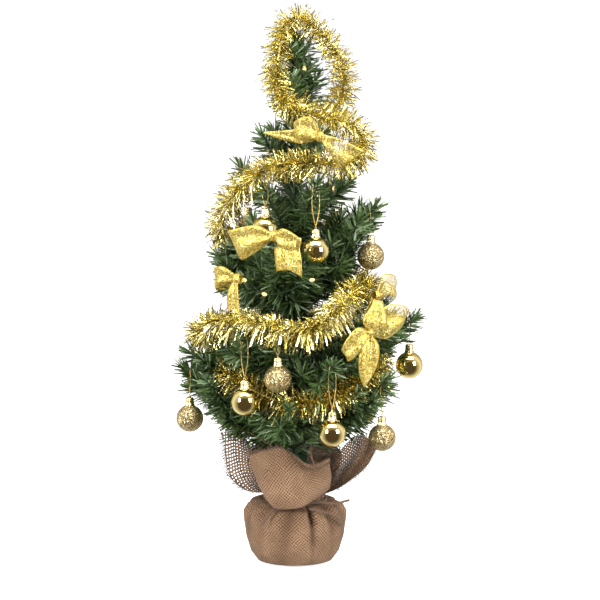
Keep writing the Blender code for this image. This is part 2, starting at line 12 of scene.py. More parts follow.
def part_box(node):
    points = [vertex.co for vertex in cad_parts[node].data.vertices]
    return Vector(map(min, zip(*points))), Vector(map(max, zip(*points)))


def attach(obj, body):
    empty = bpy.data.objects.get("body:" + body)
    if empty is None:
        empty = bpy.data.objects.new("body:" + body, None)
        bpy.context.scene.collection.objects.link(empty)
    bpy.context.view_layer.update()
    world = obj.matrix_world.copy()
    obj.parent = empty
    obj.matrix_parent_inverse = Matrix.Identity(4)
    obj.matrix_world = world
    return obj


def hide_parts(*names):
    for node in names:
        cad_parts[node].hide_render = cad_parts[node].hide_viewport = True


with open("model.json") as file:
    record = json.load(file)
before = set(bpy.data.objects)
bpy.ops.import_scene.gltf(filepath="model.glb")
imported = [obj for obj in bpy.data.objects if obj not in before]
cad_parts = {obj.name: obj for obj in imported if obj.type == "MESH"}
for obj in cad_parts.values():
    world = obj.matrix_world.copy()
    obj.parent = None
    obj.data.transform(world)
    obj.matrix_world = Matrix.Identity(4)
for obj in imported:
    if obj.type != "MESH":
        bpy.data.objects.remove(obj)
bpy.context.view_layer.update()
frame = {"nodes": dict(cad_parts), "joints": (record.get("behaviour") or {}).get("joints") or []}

NODES = frame["nodes"]
HINGES = {joint["child"]: joint for joint in frame["joints"] if joint["type"] == "hinge"}
UP = Vector((0, 0, 1))
GOLDEN_ANGLE = 2.39996          # turn from one needle to the next
BAUBLES = range(1, 15)
FIRST_AT_BACK = 10              # baubles from this number hang behind the tree


def metres(row, kept=0):
    """A row of numbers in millimetres, in metres. Its first few numbers may be kept as they are."""
    return (*row[:kept], *(round(number / 1000, 6) for number in row[kept:]))


# ---------------------------------------------------------------- sizes
CAMERA_DISTANCE = 3.0
CAMERA_TILT = 5.0               # degrees above the level
VIEW_WIDTH = 0.644              # width of the picture at the pole
VIEW_CENTRE = (0.0054, 0.2846)  # x and z that the camera looks at
FLOOR_REACH = 40.0

BALL_RADIUS = 0.0145
NECK_HOLE = 0.0027
CAP_HEIGHT = 0.0082
THREAD_RADIUS = 0.0004
LOOP_RADIUS = 0.0027            # of the thread where it hangs over a twig
LOOP_OVER = 0.0046              # how far it reaches above the twig's middle
GARLAND_CORE = 0.0012
STRING_RADIUS = 0.0006
LAMP_RADIUS = 0.0019
LAMP_LENGTH = 0.0058
TWINE = 0.0026
RIBBON_WIDTH = 0.026
COVER_TRAVEL = 0.048
NECK_RADIUS = 0.031
NECK_HEIGHT = 0.066

# ---------------------------------------------------------------- routes of the cords, in millimetres
GARLAND_ROUTE = tuple(map(metres, (
    (30, 20, 478), (45, 12, 494), (52, 6, 514), (50, 1, 536), (39, -1, 556), (23, -2, 574),
    (6, -3, 587), (-9, -6, 581), (-16, -11, 561), (-19, -14, 538), (-18, -18, 515), (-9, -25, 496),
    (10, -29, 486), (34, -27, 480), (57, -19, 474), (70, -10, 462), (71, -17, 446), (60, -35, 436),
    (38, -50, 433), (12, -57, 434), (-16, -55, 432), (-40, -45, 421), (-58, -30, 406),
    (-72, -14, 387), (-79, 4, 366), (-77, 22, 351), (-66, 42, 339), (-44, 62, 324), (-16, 75, 314),
    (13, 77, 309), (41, 67, 305), (61, 49, 302), (73, 26, 300), (77, 0, 299), (71, -26, 298),
    (61, -48, 296), (52, -68, 291), (44, -82, 282), (28, -92, 270), (9, -96, 262), (-13, -96, 264),
    (-34, -91, 270), (-56, -82, 272), (-76, -66, 268), (-92, -43, 259), (-99, -15, 250),
    (-98, 13, 249), (-90, 40, 252), (-72, 62, 256), (-48, 78, 259), (-20, 88, 260), (10, 90, 260),
    (40, 82, 258), (64, 65, 252), (80, 41, 239), (87, 15, 225), (90, -10, 217), (86, -31, 213),
    (77, -48, 208), (66, -60, 202), (52, -70, 195), (36, -77, 189), (18, -82, 185), (0, -84, 184),
    (-18, -82, 186), (-36, -76, 192), (-52, -66, 200), (-64, -54, 207), (-72, -42, 212),
)))
STRING_EXIT = metres((-8.8, 13.85, 123.1))
# the last number of a row is 1 where the string has a lamp
STRING_ROUTE = (
    (-9, 13.8, 129, 0), (-22, 6, 144, 0), (-40, 8, 164, 1), (-64, -2, 188, 0), (-80, -24, 203, 1),
    (-62, -40, 192, 0), (-38, -56, 186, 0), (-12, -60, 182, 1), (18, -60, 182, 0),
    (46, -46, 188, 0), (66, -30, 188, 0), (90, -36, 184, 1), (86, -24, 198, 0), (72, -8, 194, 0),
    (64, 22, 194, 1), (42, 50, 196, 0), (10, 62, 196, 1), (-24, 58, 196, 0), (-54, 36, 206, 1),
    (-66, 28, 238, 0), (-70, 4, 276, 1), (-74, -20, 302, 0), (-72, -40, 310, 1),
    (-53, -62, 311, 1), (-32, -72, 297, 1), (-8, -72, 300, 0), (18, -73, 312, 1),
    (40, -54, 308, 0), (62, -26, 284, 0), (90, -16, 282, 1), (68, 8, 278, 0), (54, 36, 280, 1),
    (20, 58, 286, 0), (-18, 58, 294, 1), (-34, 40, 318, 0), (-36, 10, 340, 1), (-24, -26, 348, 0),
    (4, -36, 352, 1), (30, -24, 364, 0), (38, 4, 380, 0), (42, 8, 404, 1), (42, -6, 430, 0),
    (36, -22, 452, 1), (20, 0, 476, 0), (12, -8, 505, 0), (10, -10, 532, 1),
)
TIE_LEFT = tuple(map(metres, ((-36, -56, 50), (-24, -50, 62.5), (-11, -41, 68))))
TIE_RIGHT = tuple(map(metres, ((12, -39.5, 74), (28, -46, 72.5), (44, -44, 71.5), (58, -36, 73.5))))

# ---------------------------------------------------------------- branches
# name: azimuth in degrees, then in millimetres the height at the pole, reach and height of the tip
BRANCHES = {
    "branch_low_left": (193, 112, 121, 214),
    "branch_low_front": (266, 115, 98, 180),
    "branch_low_right": (330, 118, 112, 204),
    "branch_low_back_right": (44, 129, 108, 208),
    "branch_low_back_left": (136, 132, 106, 210),
    "branch_middle_left": (180, 165, 112, 228),
    "branch_middle_front_left": (240, 168, 109, 256),
    "branch_middle_front": (292, 171, 108, 224),
    "branch_middle_right": (354, 174, 128, 266),
    "branch_middle_back_right": (58, 177, 110, 246),
    "branch_middle_back_left": (120, 180, 108, 244),
    "branch_high_left": (170, 262, 84, 332),
    "branch_high_front": (256, 266, 74, 326),
    "branch_high_right": (350, 270, 88, 386),
    "branch_high_back": (80, 274, 84, 366),
}
# twigs wired to the leader, in the same way
TOP_TWIGS = (
    (240, 346, 66, 408), (290, 352, 68, 412), (345, 358, 58, 412), (40, 364, 60, 408),
    (95, 370, 60, 410), (150, 376, 62, 406), (215, 412, 42, 462), (305, 418, 42, 464),
    (35, 424, 42, 464), (125, 430, 40, 466), (260, 474, 24, 520), (20, 480, 24, 522),
    (140, 486, 24, 524),
)
LEADER_FOOT = 0.3353
TIP_HEIGHT = 0.572
POLE_RADIUS = 0.0043
TWIG_SPREAD = 20.0              # degrees to each side of its branch
TWIG_REACH = 0.90               # share of the branch's reach
# short sprigs of a branch: place they leave it, spread in degrees, share of its reach, lift in metres
SPRIGS = ((0.26, -34, 0.62, 0.010), (0.30, 34, 0.66, 0.004), (0.45, 8, 0.80, 0.022),
          (0.20, -54, 0.46, 0.010),
          (0.22, 52, 0.50, 0.006), (0.55, -7, 0.92, -0.014), (0.35, 14, 0.66, -0.016))
# longer sprigs: where they leave their branch, and where they end. Bows are wired to the ends of some.
LONG_SPRIGS = {
    "branch_high_left": ((0.25, -58, -20, 352), (0.20, -44, -32, 372),
                         (0.30, -68, -4, 338), (0.30, -60, 6, 372)),
    "branch_high_right": ((0.20, 50, -14, 374), (0.30, 64, -30, 350),
                          (0.30, 48, -44, 328), (0.40, 74, -2, 346)),
    "branch_high_front": ((0.80, -21, -86, 354), (0.50, -70, -62, 303),
                          (0.40, 20, -64, 334), (0.30, -40, -46, 330)),
    "branch_middle_front": ((0.60, 76, -87, 256),),
    "branch_middle_right": ((0.70, 89, -36, 290), (0.40, 70, -46, 262),
                            (0.30, 66, -30, 304), (0.25, 44, -40, 292)),
    "branch_middle_left": ((0.40, -80, -40, 246),),
}
BOW_WIRES = {
    "bow_top": ((24, -36, 463), (25.5, -54, 462.5), (26, -68, 462)),
    "bow_left": ((-20, -80, 346), (-21.5, -88, 356), (-22, -95, 360)),
    "bow_left_small": ((-64, -60, 304), (-67, -66, 308), (-68, -76, 313)),
    "bow_right": ((70, -84, 250), (75, -91, 257), (77, -98, 261)),
    "bow_right_small": ((88, -32, 286), (87, -40, 291), (87, -47, 294)),
}

NEEDLE_LENGTH = 0.0225
NEEDLE_WIDTH = 0.0018
NEEDLES_PER_METRE = 3200
PRESSED_ASIDE = 0.015           # the garland keeps needles this far from its core
STRIP_LENGTH = 0.0208
STRIP_WIDTH = 0.0010
STRIPS_PER_METRE = 7600
BURLAP_PITCH = 0.0025           # from thread to thread of the weave
RIBBON_PITCH = 0.0012
GRAINS = 1400.0                 # of glitter on a ball, in each metre
RIBBON_GRAINS = 1000.0


# ---------------------------------------------------------------- geometry helpers
def clamp(value):
    return min(max(value, 0), 1)


def polar(radius, azimuth, height):
    angle = math.radians(azimuth)
    return Vector((radius * math.cos(angle), radius * math.sin(angle), height))


def smooth_route(route, count):
    """Evenly spaced points on a smooth curve through the route's own points."""
    fine, route = [], [Vector(point) for point in route]
    for k in range(len(route) - 1):
        before, start = route[max(k - 1, 0)], route[k]
        end, after = route[k + 1], route[min(k + 2, len(route) - 1)]
        for step in range(12):
            t = step / 12
            bend = 2 * before - 5 * start + 4 * end - after
            twist = 3 * (start - end) + after - before
            fine.append(start + 0.5 * ((end - before) * t + bend * t * t + twist * t ** 3))
    fine.append(route[-1])
    lengths = [0.0]
    for a, b in zip(fine, fine[1:]):
        lengths.append(lengths[-1] + (b - a).length)
    points, k = [], 0
    for n in range(count):
        wanted = lengths[-1] * n / (count - 1)
        while k < len(fine) - 2 and lengths[k + 1] < wanted:
            k += 1
        share = (wanted - lengths[k]) / (lengths[k + 1] - lengths[k])
        points.append(fine[k].lerp(fine[k + 1], min(share, 1.0)))
    return points


def length_of(points):
    return sum((b - a).length for a, b in zip(points, points[1:]))


def place_piece(name, data, finish, body, stands_for):
    """An object that rides on a body, and may stand for a CAD node."""
    data.materials.append(finish)
    obj = bpy.data.objects.new(name, data)
    bpy.context.scene.collection.objects.link(obj)
    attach(obj, body)
    if stands_for:
        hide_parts(stands_for)
    return obj


def mesh_piece(name, shape, finish, body="tree", stands_for=None, attributes=None, uvs=None):
    """A smooth-shaded mesh of points and faces. Attributes are one number for each point."""
    points, faces = shape
    mesh = bpy.data.meshes.new(name)
    mesh.from_pydata(np.asarray(points, float), [], faces)
    for key, values in (attributes or {}).items():
        layer = mesh.attributes.new(key, "FLOAT", "POINT")
        layer.data.foreach_set("value", np.asarray(values, np.float32))
    if uvs is not None:
        corners = np.zeros(len(mesh.loops), np.int32)
        mesh.loops.foreach_get("vertex_index", corners)
        layer = mesh.uv_layers.new(name="weave")
        layer.data.foreach_set("uv", np.asarray(uvs, np.float32)[corners].ravel())
    mesh.shade_smooth()
    return place_piece(name, mesh, finish, body, stands_for)


def curve_piece(name, points, radius, finish, stands_for):
    """A round strand along the points, on the tree."""
    curve = bpy.data.curves.new(name, "CURVE")
    curve.dimensions = "3D"
    curve.bevel_depth = radius
    curve.bevel_resolution = 3
    curve.use_fill_caps = True
    spline = curve.splines.new("POLY")
    spline.points.add(len(points) - 1)
    for target, place in zip(spline.points, points):
        target.co = (*place, 1.0)
    return place_piece(name, curve, finish, "tree", stands_for)


def quads(rows, wide, ring=False, start=0):
    """Faces between the rows of a grid of points. A ring's last column meets its first."""
    faces = []
    for k in range(rows - 1):
        here = start + k * wide
        for n in range(wide if ring else wide - 1):
            m = (n + 1) % wide
            faces.append((here + n, here + m, here + wide + m, here + wide + n))
    return faces


def strips(centres, sides):
    """Points and faces of flat strips: centres and half-width vectors of shape (strips, stations, 3)."""
    count, stations = centres.shape[:2]
    points = np.stack([centres - sides, centres + sides], axis=2).reshape(-1, 3)
    start = (np.arange(count)[:, None] * stations + np.arange(stations - 1)) * 2
    faces = np.stack([start, start + 1, start + 3, start + 2], axis=-1).reshape(-1, 4)
    return points, faces.tolist()


def frames_along(route):
    """The forward, side and other directions at each point of a route."""
    frames, side = [], None
    for k in range(len(route)):
        ahead = (route[min(k + 1, len(route) - 1)] - route[max(k - 1, 0)]).normalized()
        side = side or ahead.orthogonal()
        side = (side - ahead * side.dot(ahead)).normalized()
        frames.append((ahead, side, ahead.cross(side)))
    return frames


def tube(route, radii, sides):
    """Points and faces of a round strand along a route."""
    points = []
    for here, radius, (_, side, other) in zip(route, radii, frames_along(route)):
        for n in range(sides):
            turn = 2 * math.pi * n / sides
            points.append(here + radius * (side * math.cos(turn) + other * math.sin(turn)))
    faces = quads(len(route), sides, ring=True)
    faces.append(tuple(range(sides))[::-1])
    faces.append(tuple(range(len(points) - sides, len(points))))
    return points, faces


def joined(shapes):
    """Several point and face lists as one."""
    points, faces = [], []
    for more_points, more_faces in shapes:
        start = len(points)
        points += list(more_points)
        faces += [tuple(start + k for k in face) for face in more_faces]
    return points, faces


def turned(profile, sides, flute=None):
    """A turned shape about the Z axis. flute(height share, angle) scales each point's radius."""
    points = []
    for k, (radius, height) in enumerate(profile):
        for n in range(sides):
            angle = 2 * math.pi * n / sides
            scale = flute(k / (len(profile) - 1), angle) if flute else 1.0
            away = radius * scale
            points.append(Vector((away * math.cos(angle), away * math.sin(angle), height)))
    return points, [(a, d, c, b) for a, b, c, d in quads(len(profile), sides, ring=True)]


# ---------------------------------------------------------------- materials
class Nodes:
    """Short ways to add nodes to a node tree."""

    def __init__(self, tree):
        self.tree = tree

    def node(self, kind, *values, **settings):
        made = self.tree.nodes.new(kind)
        for key, value in settings.items():
            setattr(made, key, value)
        for socket, value in zip(made.inputs, values):
            self.feed(socket, value)
        return made

    def feed(self, socket, value):
        if isinstance(value, bpy.types.NodeSocket):
            self.tree.links.new(value, socket)
        elif value is not None:
            socket.default_value = value

    def math(self, operation, *values):
        return self.node("ShaderNodeMath", *values, operation=operation).outputs[0]

    def vector_math(self, operation, *values):
        return self.node("ShaderNodeVectorMath", *values, operation=operation).outputs[0]

    def ramp(self, share, *stops):
        made = self.node("ShaderNodeValToRGB", share)
        marks = made.color_ramp.elements
        while len(marks) < len(stops):
            marks.new(0.5)
        for mark, (position, colour) in zip(marks, stops):
            mark.position = position
            mark.color = (*colour, 1.0) if hasattr(colour, "__len__") else (colour, colour, colour, 1.0)
        return made.outputs[0]

    def spread(self, share, low, high):
        """A number from 0 to 1, moved to run from low to high."""
        return self.node("ShaderNodeMapRange", share, 0.0, 1.0, low, high).outputs[0]

    def mix(self, share, a, b):
        made = self.node("ShaderNodeMix", data_type="RGBA")
        self.feed(made.inputs[0], share)
        self.feed(made.inputs[6], a)
        self.feed(made.inputs[7], b)
        return made.outputs[2]


class Paint(Nodes):
    """One material and the nodes that feed its Principled BSDF."""

    def __init__(self, name, **values):
        self.material = bpy.data.materials.new(name)
        self.material.use_nodes = True
        super().__init__(self.material.node_tree)
        self.shader = self.tree.nodes["Principled BSDF"]
        for key, value in values.items():
            self.shader.inputs[key.replace("_", " ")].default_value = value

    def set(self, key, value):
        self.feed(self.shader.inputs[key], value)

    def colour(self, share, *stops):
        self.set("Base Color", self.ramp(share, *stops))

    def rough(self, share, low, high):
        self.set("Roughness", self.spread(share, low, high))

    def place(self):
        return self.node("ShaderNodeTexCoord").outputs["Object"]

    def stretched(self, scale):
        """The place, scaled by a different number along each axis."""
        return self.vector_math("MULTIPLY", self.place(), scale)

    def attribute(self, name):
        return self.node("ShaderNodeAttribute", attribute_name=name).outputs["Fac"]

    def noise(self, scale, detail=3.0, where=None, roughness=0.5):
        made = self.node("ShaderNodeTexNoise")
        self.feed(made.inputs["Vector"], where or self.place())
        for key, value in (("Scale", scale), ("Detail", detail), ("Roughness", roughness)):
            made.inputs[key].default_value = value
        return made.outputs[0]

    def cells(self, scale, where=None):
        made = self.node("ShaderNodeTexVoronoi")
        self.feed(made.inputs["Vector"], where or self.place())
        made.inputs["Scale"].default_value = scale
        return made.outputs["Color"]

    def bump(self, height, depth, strength=1.0):
        """Depth is the real height of the relief, in metres."""
        made = self.node("ShaderNodeBump")
        made.inputs["Strength"].default_value = strength
        made.inputs["Distance"].default_value = depth
        self.feed(made.inputs["Height"], height)
        self.set("Normal", made.outputs[0])

    def flecks(self, scale, tilt):
        """Turns the surface a different way in each small cell, as flakes of glitter lie."""
        turn = self.vector_math("SUBTRACT", self.cells(scale), (0.5, 0.5, 0.5))
        tilted = self.vector_math("MULTIPLY", turn, (tilt, tilt, tilt))
        normal = self.node("ShaderNodeNewGeometry").outputs["Normal"]
        self.set("Normal", self.vector_math("NORMALIZE", self.vector_math("ADD", normal, tilted)))


def needle_paint():
    paint = Paint("needle_pvc")
    shade = paint.math("ADD", paint.attribute("shade"), paint.spread(paint.noise(60.0), -0.20, 0.20))
    paint.colour(shade, (0.0, (0.011, 0.022, 0.005)), (0.36, (0.036, 0.066, 0.014)),
                 (0.66, (0.092, 0.160, 0.048)), (1.0, (0.290, 0.390, 0.230)))
    paint.rough(paint.noise(900.0), 0.30, 0.52)
    return paint.material


def strand_paint(name, metallic, scale, along, dark, light, rough, relief):
    """Wire or thread. Its fine lines are stretched along Z, and show in colour, gloss and relief."""
    paint = Paint(name, Metallic=metallic)
    lines = paint.noise(scale, where=paint.stretched((1.0, 1.0, along)))
    paint.colour(lines, (0.3, dark), (0.7, light))
    paint.rough(lines, *rough)
    paint.bump(lines, relief)
    return paint.material


def mottled_paint(name, metallic, tone, dark, light, rough, relief, detail=3.0):
    """Metal or plastic. Tone is a noise scale, rough a scale and limits, relief a scale and depth."""
    paint = Paint(name, Metallic=metallic)
    paint.colour(paint.noise(tone), (0.3, dark), (0.7, light))
    paint.rough(paint.noise(rough[0], detail), *rough[1:])
    paint.bump(paint.noise(relief[0], detail), relief[1])
    return paint.material


def moulded_paint(name, dark, light):
    return mottled_paint(name, 0.0, 70.0, dark, light, (1600.0, 0.38, 0.58), (1600.0, 0.00012), 4.0)


def tinsel_paint():
    paint = Paint("tinsel_film", Metallic=1.0)
    # The shade attribute runs from dark to pale gold; on the front pass it is raised as a painted highlight.
    paint.colour(paint.attribute("shade"), (0.0, (0.46, 0.37, 0.08)), (0.35, (0.76, 0.65, 0.21)),
                 (0.7, (0.95, 0.87, 0.44)), (1.0, (1.0, 0.97, 0.78)))
    paint.rough(paint.noise(500.0), 0.12, 0.30)
    paint.bump(paint.noise(350.0), 0.0004)
    return paint.material


def glitter_paint():
    paint = Paint("glitter_gold", Metallic=0.9)
    grain = paint.cells(GRAINS)
    paint.colour(grain, (0.25, (0.24, 0.165, 0.055)), (0.75, (0.88, 0.72, 0.40)))
    paint.rough(grain, 0.18, 0.45)
    paint.flecks(GRAINS, 1.1)
    return paint.material


def weave(paint, pitch):
    """(height, cover) of a plain weave on the weave UV map, in metres. Cover is 1 on a thread's middle."""
    uv = paint.node("ShaderNodeUVMap", uv_map="weave").outputs[0]
    drift = paint.node("ShaderNodeTexNoise", uv)
    drift.inputs["Scale"].default_value = 120.0
    drift = paint.vector_math("MULTIPLY", drift.outputs["Color"], (0.0034, 0.0034, 0.0))
    where = paint.vector_math("ADD", uv, drift)
    where = paint.vector_math("MULTIPLY", where, (1 / pitch, 1 / pitch, 1.0))
    parts = paint.node("ShaderNodeSeparateXYZ", where)
    humps = [paint.math("SINE", paint.math("MULTIPLY", paint.math("FRACT", along), math.pi))
             for along in (parts.outputs[0], parts.outputs[1])]
    steps = [paint.math("FLOOR", along) for along in (parts.outputs[0], parts.outputs[1])]
    over = paint.math("MODULO", paint.math("ABSOLUTE", paint.math("ADD", *steps)), 2.0)
    one = paint.math("MULTIPLY", humps[0], paint.spread(over, 0.52, 1.0))
    two = paint.math("MULTIPLY", humps[1], paint.spread(over, 1.0, 0.52))
    return paint.math("MAXIMUM", one, two), paint.math("MAXIMUM", *humps)


def burlap_paint():
    paint = Paint("burlap", Roughness=0.9, Sheen_Weight=0.08)
    paint.set("Sheen Tint", (1.0, 0.78, 0.62, 1.0))
    height, cover = weave(paint, BURLAP_PITCH)
    fibre = paint.noise(1100.0, 4.0)
    patch = paint.noise(45.0, 3.0)
    tone = paint.math("ADD", paint.math("MULTIPLY", height, 0.72), paint.math("MULTIPLY", fibre, 0.40))
    tone = paint.math("ADD", tone, paint.spread(patch, -0.20, 0.16))
    # Painted shade: the cloth's colour is darkened along the sack's creases, where shadow falls.
    tone = paint.math("SUBTRACT", tone, paint.math("MULTIPLY", paint.attribute("fold"), 0.30))
    paint.colour(tone, (0.30, (0.034, 0.015, 0.006)), (0.60, (0.136, 0.070, 0.032)),
                 (0.80, (0.250, 0.142, 0.073)), (1.0, (0.430, 0.275, 0.160)))
    paint.bump(paint.math("ADD", height, paint.math("MULTIPLY", fibre, 0.5)), 0.0009, 0.9)
    limit = paint.spread(paint.attribute("loose"), 0.0, 0.78)
    paint.set("Alpha", paint.math("GREATER_THAN", cover, limit))
    return paint.material


def jute_paint():
    paint = Paint("jute", Roughness=0.9, Sheen_Weight=0.2)
    fibre = paint.noise(1400.0, 4.0, where=paint.stretched((1.0, 1.0, 2.5)))
    paint.colour(fibre, (0.25, (0.050, 0.022, 0.010)), (0.55, (0.130, 0.066, 0.033)),
                 (0.8, (0.270, 0.155, 0.085)))
    paint.bump(fibre, 0.0005)
    return paint.material


def ribbon_paint():
    paint = Paint("gold_ribbon", Metallic=0.65)
    height, cover = weave(paint, RIBBON_PITCH)
    across = paint.math("ABSOLUTE", paint.attribute("across"))
    edge = paint.math("GREATER_THAN", across, 0.92)
    grain = paint.cells(RIBBON_GRAINS)
    tone = paint.math("ADD", paint.math("MULTIPLY", grain, 0.70), paint.math("MULTIPLY", height, 0.30))
    gold = paint.ramp(tone, (0.2, (0.20, 0.12, 0.008)), (0.5, (0.50, 0.35, 0.035)),
                      (0.8, (0.95, 0.80, 0.30)))
    paint.set("Base Color", paint.mix(edge, gold, (0.66, 0.46, 0.07, 1.0)))
    paint.rough(grain, 0.24, 0.5)
    thread = paint.math("GREATER_THAN", cover, paint.attribute("sheer"))
    paint.set("Alpha", paint.math("MAXIMUM", thread, edge))
    paint.flecks(RIBBON_GRAINS, 0.5)
    return paint.material


def lamp_paint():
    paint = Paint("warm_lamp", Roughness=0.12, Emission_Strength=1.5)
    glow = paint.noise(420.0, 2.0)
    paint.colour(glow, (0.3, (0.90, 0.42, 0.08)), (0.7, (1.0, 0.80, 0.45)))
    paint.set("Emission Color", paint.ramp(
        glow, (0.38, (0.80, 0.24, 0.02)), (0.52, (1.0, 0.50, 0.10)), (0.60, (1.0, 0.90, 0.60))))
    return paint.material


def plaster_paint():
    paint = Paint("plaster", Roughness=0.85)
    pits = paint.noise(450.0, 5.0)
    paint.colour(pits, (0.3, (0.52, 0.50, 0.46)), (0.6, (0.74, 0.72, 0.68)))
    paint.bump(pits, 0.0006)
    return paint.material


# ---------------------------------------------------------------- camera, light and floor
def add_light(name, place, aim_height, size, power):
    """A softbox that faces the tree."""
    light = bpy.data.lights.new(name, "AREA")
    light.shape = "RECTANGLE"
    light.size, light.size_y = size
    light.energy = power
    obj = bpy.data.objects.new(name, light)
    obj.location = place
    obj.rotation_euler = (UP * aim_height - Vector(place)).to_track_quat("-Z", "Y").to_euler()
    obj.visible_camera = False
    bpy.context.scene.collection.objects.link(obj)


def make_studio():
    scene = bpy.context.scene
    camera = bpy.data.objects.new("camera", bpy.data.cameras.new("camera"))
    scene.collection.objects.link(camera)
    scene.camera = camera
    tilt = math.radians(CAMERA_TILT)
    back = Vector((0, -math.cos(tilt), math.sin(tilt)))
    target = Vector((VIEW_CENTRE[0], 0, VIEW_CENTRE[1]))
    camera.location = target + back * CAMERA_DISTANCE
    camera.rotation_euler = (-back).to_track_quat("-Z", "Y").to_euler()
    camera.data.lens = camera.data.sensor_width * CAMERA_DISTANCE / VIEW_WIDTH
    camera.data.clip_end = 100.0

    floor = bpy.data.objects.new("floor", bpy.data.meshes.new("floor"))
    corners = [(x * FLOOR_REACH, y * FLOOR_REACH, 0) for x, y in ((-1, -1), (1, -1), (1, 1), (-1, 1))]
    floor.data.from_pydata(corners, [], [(0, 1, 2, 3)])
    paint = Paint("floor", Roughness=0.6)
    paint.colour(paint.noise(3.0), (0.3, 0.80), (0.7, 0.84))
    paint.set("Emission Color", (1.0, 1.0, 1.0, 1.0))
    seen = paint.node("ShaderNodeLightPath").outputs["Is Camera Ray"]
    paint.set("Emission Strength", paint.math("MULTIPLY", seen, 0.85))
    floor.data.materials.append(paint.material)
    scene.collection.objects.link(floor)
    floor.visible_glossy = False

    make_world(scene)
    add_light("softbox_left", (-1.30, -1.30, 0.75), 0.3, (0.42, 0.75), 30)
    add_light("softbox_right", (1.30, -1.20, 0.70), 0.3, (0.60, 0.80), 30)
    add_light("softbox_top", (0.0, -0.6, 1.9), 0.25, (2.2, 0.9), 42)
    scene.view_settings.view_transform = "Standard"


def make_world(scene):
    """White behind the tree. What the tree reflects is bright at the sides and above, and dim in
    front and behind."""
    world = bpy.data.worlds.new("studio")
    world.use_nodes = True
    scene.world = world
    nodes = Nodes(world.node_tree)
    way = nodes.node("ShaderNodeTexCoord").outputs["Generated"]
    parts = nodes.node("ShaderNodeSeparateXYZ", way).outputs
    lean = nodes.math("MULTIPLY_ADD", parts["Z"], 0.40, parts["Y"])
    depth = nodes.node("ShaderNodeMapRange", lean, -1.0, 1.0).outputs[0]
    light = nodes.ramp(depth, (0.16, (0.085, 0.068, 0.050)), (0.62, 1.0), (0.70, 1.0),
                       (1.0, (0.34, 0.29, 0.23)))
    seen = nodes.node("ShaderNodeLightPath").outputs["Is Camera Ray"]
    sky = nodes.mix(seen, light, (1.05, 1.05, 1.05, 1))
    nodes.feed(world.node_tree.nodes["Background"].inputs["Color"], sky)


# ---------------------------------------------------------------- cords
def bristles(route, count, lean, rng):
    """Start, direction, forward direction and place along the route (0 to 1) of strips on a strand."""
    ahead, side, other = (np.array(part) for part in zip(*frames_along(route)))
    at = (np.arange(count) + rng.random(count)) / count
    k = np.minimum((at * (len(route) - 1)).astype(int), len(route) - 2)
    part = (at * (len(route) - 1) - k)[:, None]
    points = np.array(route)
    start = points[k] * (1 - part) + points[k + 1] * part
    turn = np.arange(count) * GOLDEN_ANGLE + rng.normal(0, 0.5, count)
    tilt = lean(at, rng)
    out = side[k] * np.cos(turn)[:, None] + other[k] * np.sin(turn)[:, None]
    way = ahead[k] * np.cos(tilt)[:, None] + out * np.sin(tilt)[:, None]
    return start, way, ahead[k], at


def blades(start, way, curl, lengths, widths, stations, taper, rng):
    """Centres and half-width vectors of thin strips that start along a direction and bend by curl."""
    reach = np.linspace(0, 1, stations)[None, :, None]
    bend = way[:, None] * reach + curl[:, None] * reach ** 2
    centres = start[:, None] + lengths[:, None, None] * bend
    across = np.cross(way, rng.normal(size=way.shape))
    across /= np.linalg.norm(across, axis=1, keepdims=True)
    shape = np.array(taper)[None, :, None]
    return centres, across[:, None] * shape * widths[:, None, None] / 2


def make_garland(wire, film):
    route = smooth_route(GARLAND_ROUTE, 400)
    core = curve_piece("tinsel_core", route, GARLAND_CORE / 2, wire, "tinsel_garland")
    rng = np.random.default_rng(11)
    count = int(length_of(route) * STRIPS_PER_METRE)

    def lean(at, draw):
        return np.radians(80 + draw.normal(0, 19, len(at)))

    start, way, ahead, at = bristles(route, count, lean, rng)
    short = np.interp(at, (0, 0.03, 0.06, 0.10, 0.13, 1), (1, 0.9, 0.78, 0.78, 0.92, 1))
    front = (start[:, 1] < -0.060) & (start[:, 2] > 0.250) & (start[:, 2] < 0.30)
    lengths = STRIP_LENGTH * rng.uniform(0.78, 1.08, count) * short
    droop = np.where(front, 0.45, np.where(rng.random(count) < 0.2, 0.3, 0.06))
    curl = rng.normal(0, 0.12, (count, 3)) + np.outer(droop, (0, 0, -1.0)) + ahead * 0.06
    widths = STRIP_WIDTH * rng.uniform(0.7, 1.3, count)
    widths *= np.where(front & (rng.random(count) < 0.5), 2.3, 1.0)
    centres, sides = blades(start, way, curl, lengths, widths, 4, (1, 1, 1, 0.8), rng)
    # Strips of the front pass get a lighter colour, a painted highlight; the rest of the spread is the strips'
    # own tone.
    shade = np.clip(rng.normal(0.47, 0.25, count) + 0.2 * front, 0, 1)
    free = free_of_parts(centres)
    strands = mesh_piece("tinsel_strips", strips(centres[free], sides[free]), film,
                         attributes={"shade": np.repeat(shade[free], 8)})


def make_string(wire, glow):
    places = [Vector(STRING_EXIT)] + [Vector(metres(row[:3])) for row in STRING_ROUTE]
    string = curve_piece("light_wire", smooth_route(places, 360), STRING_RADIUS, wire,
                         "light_string")
    shares = np.linspace(0, 1, 9)
    radii = [LAMP_RADIUS * math.sqrt(max(1 - (2 * share - 1) ** 2, 0.06)) for share in shares]
    bulbs = []
    for k, row in enumerate(STRING_ROUTE, 1):
        if row[3]:
            ahead = (places[min(k + 1, len(places) - 1)] - places[k - 1]).normalized()
            route = [places[k] + ahead * LAMP_LENGTH * (share - 0.5) for share in shares]
            bulbs.append(tube(route, radii, 10))
    lamps = mesh_piece("lamps", joined(bulbs), glow)


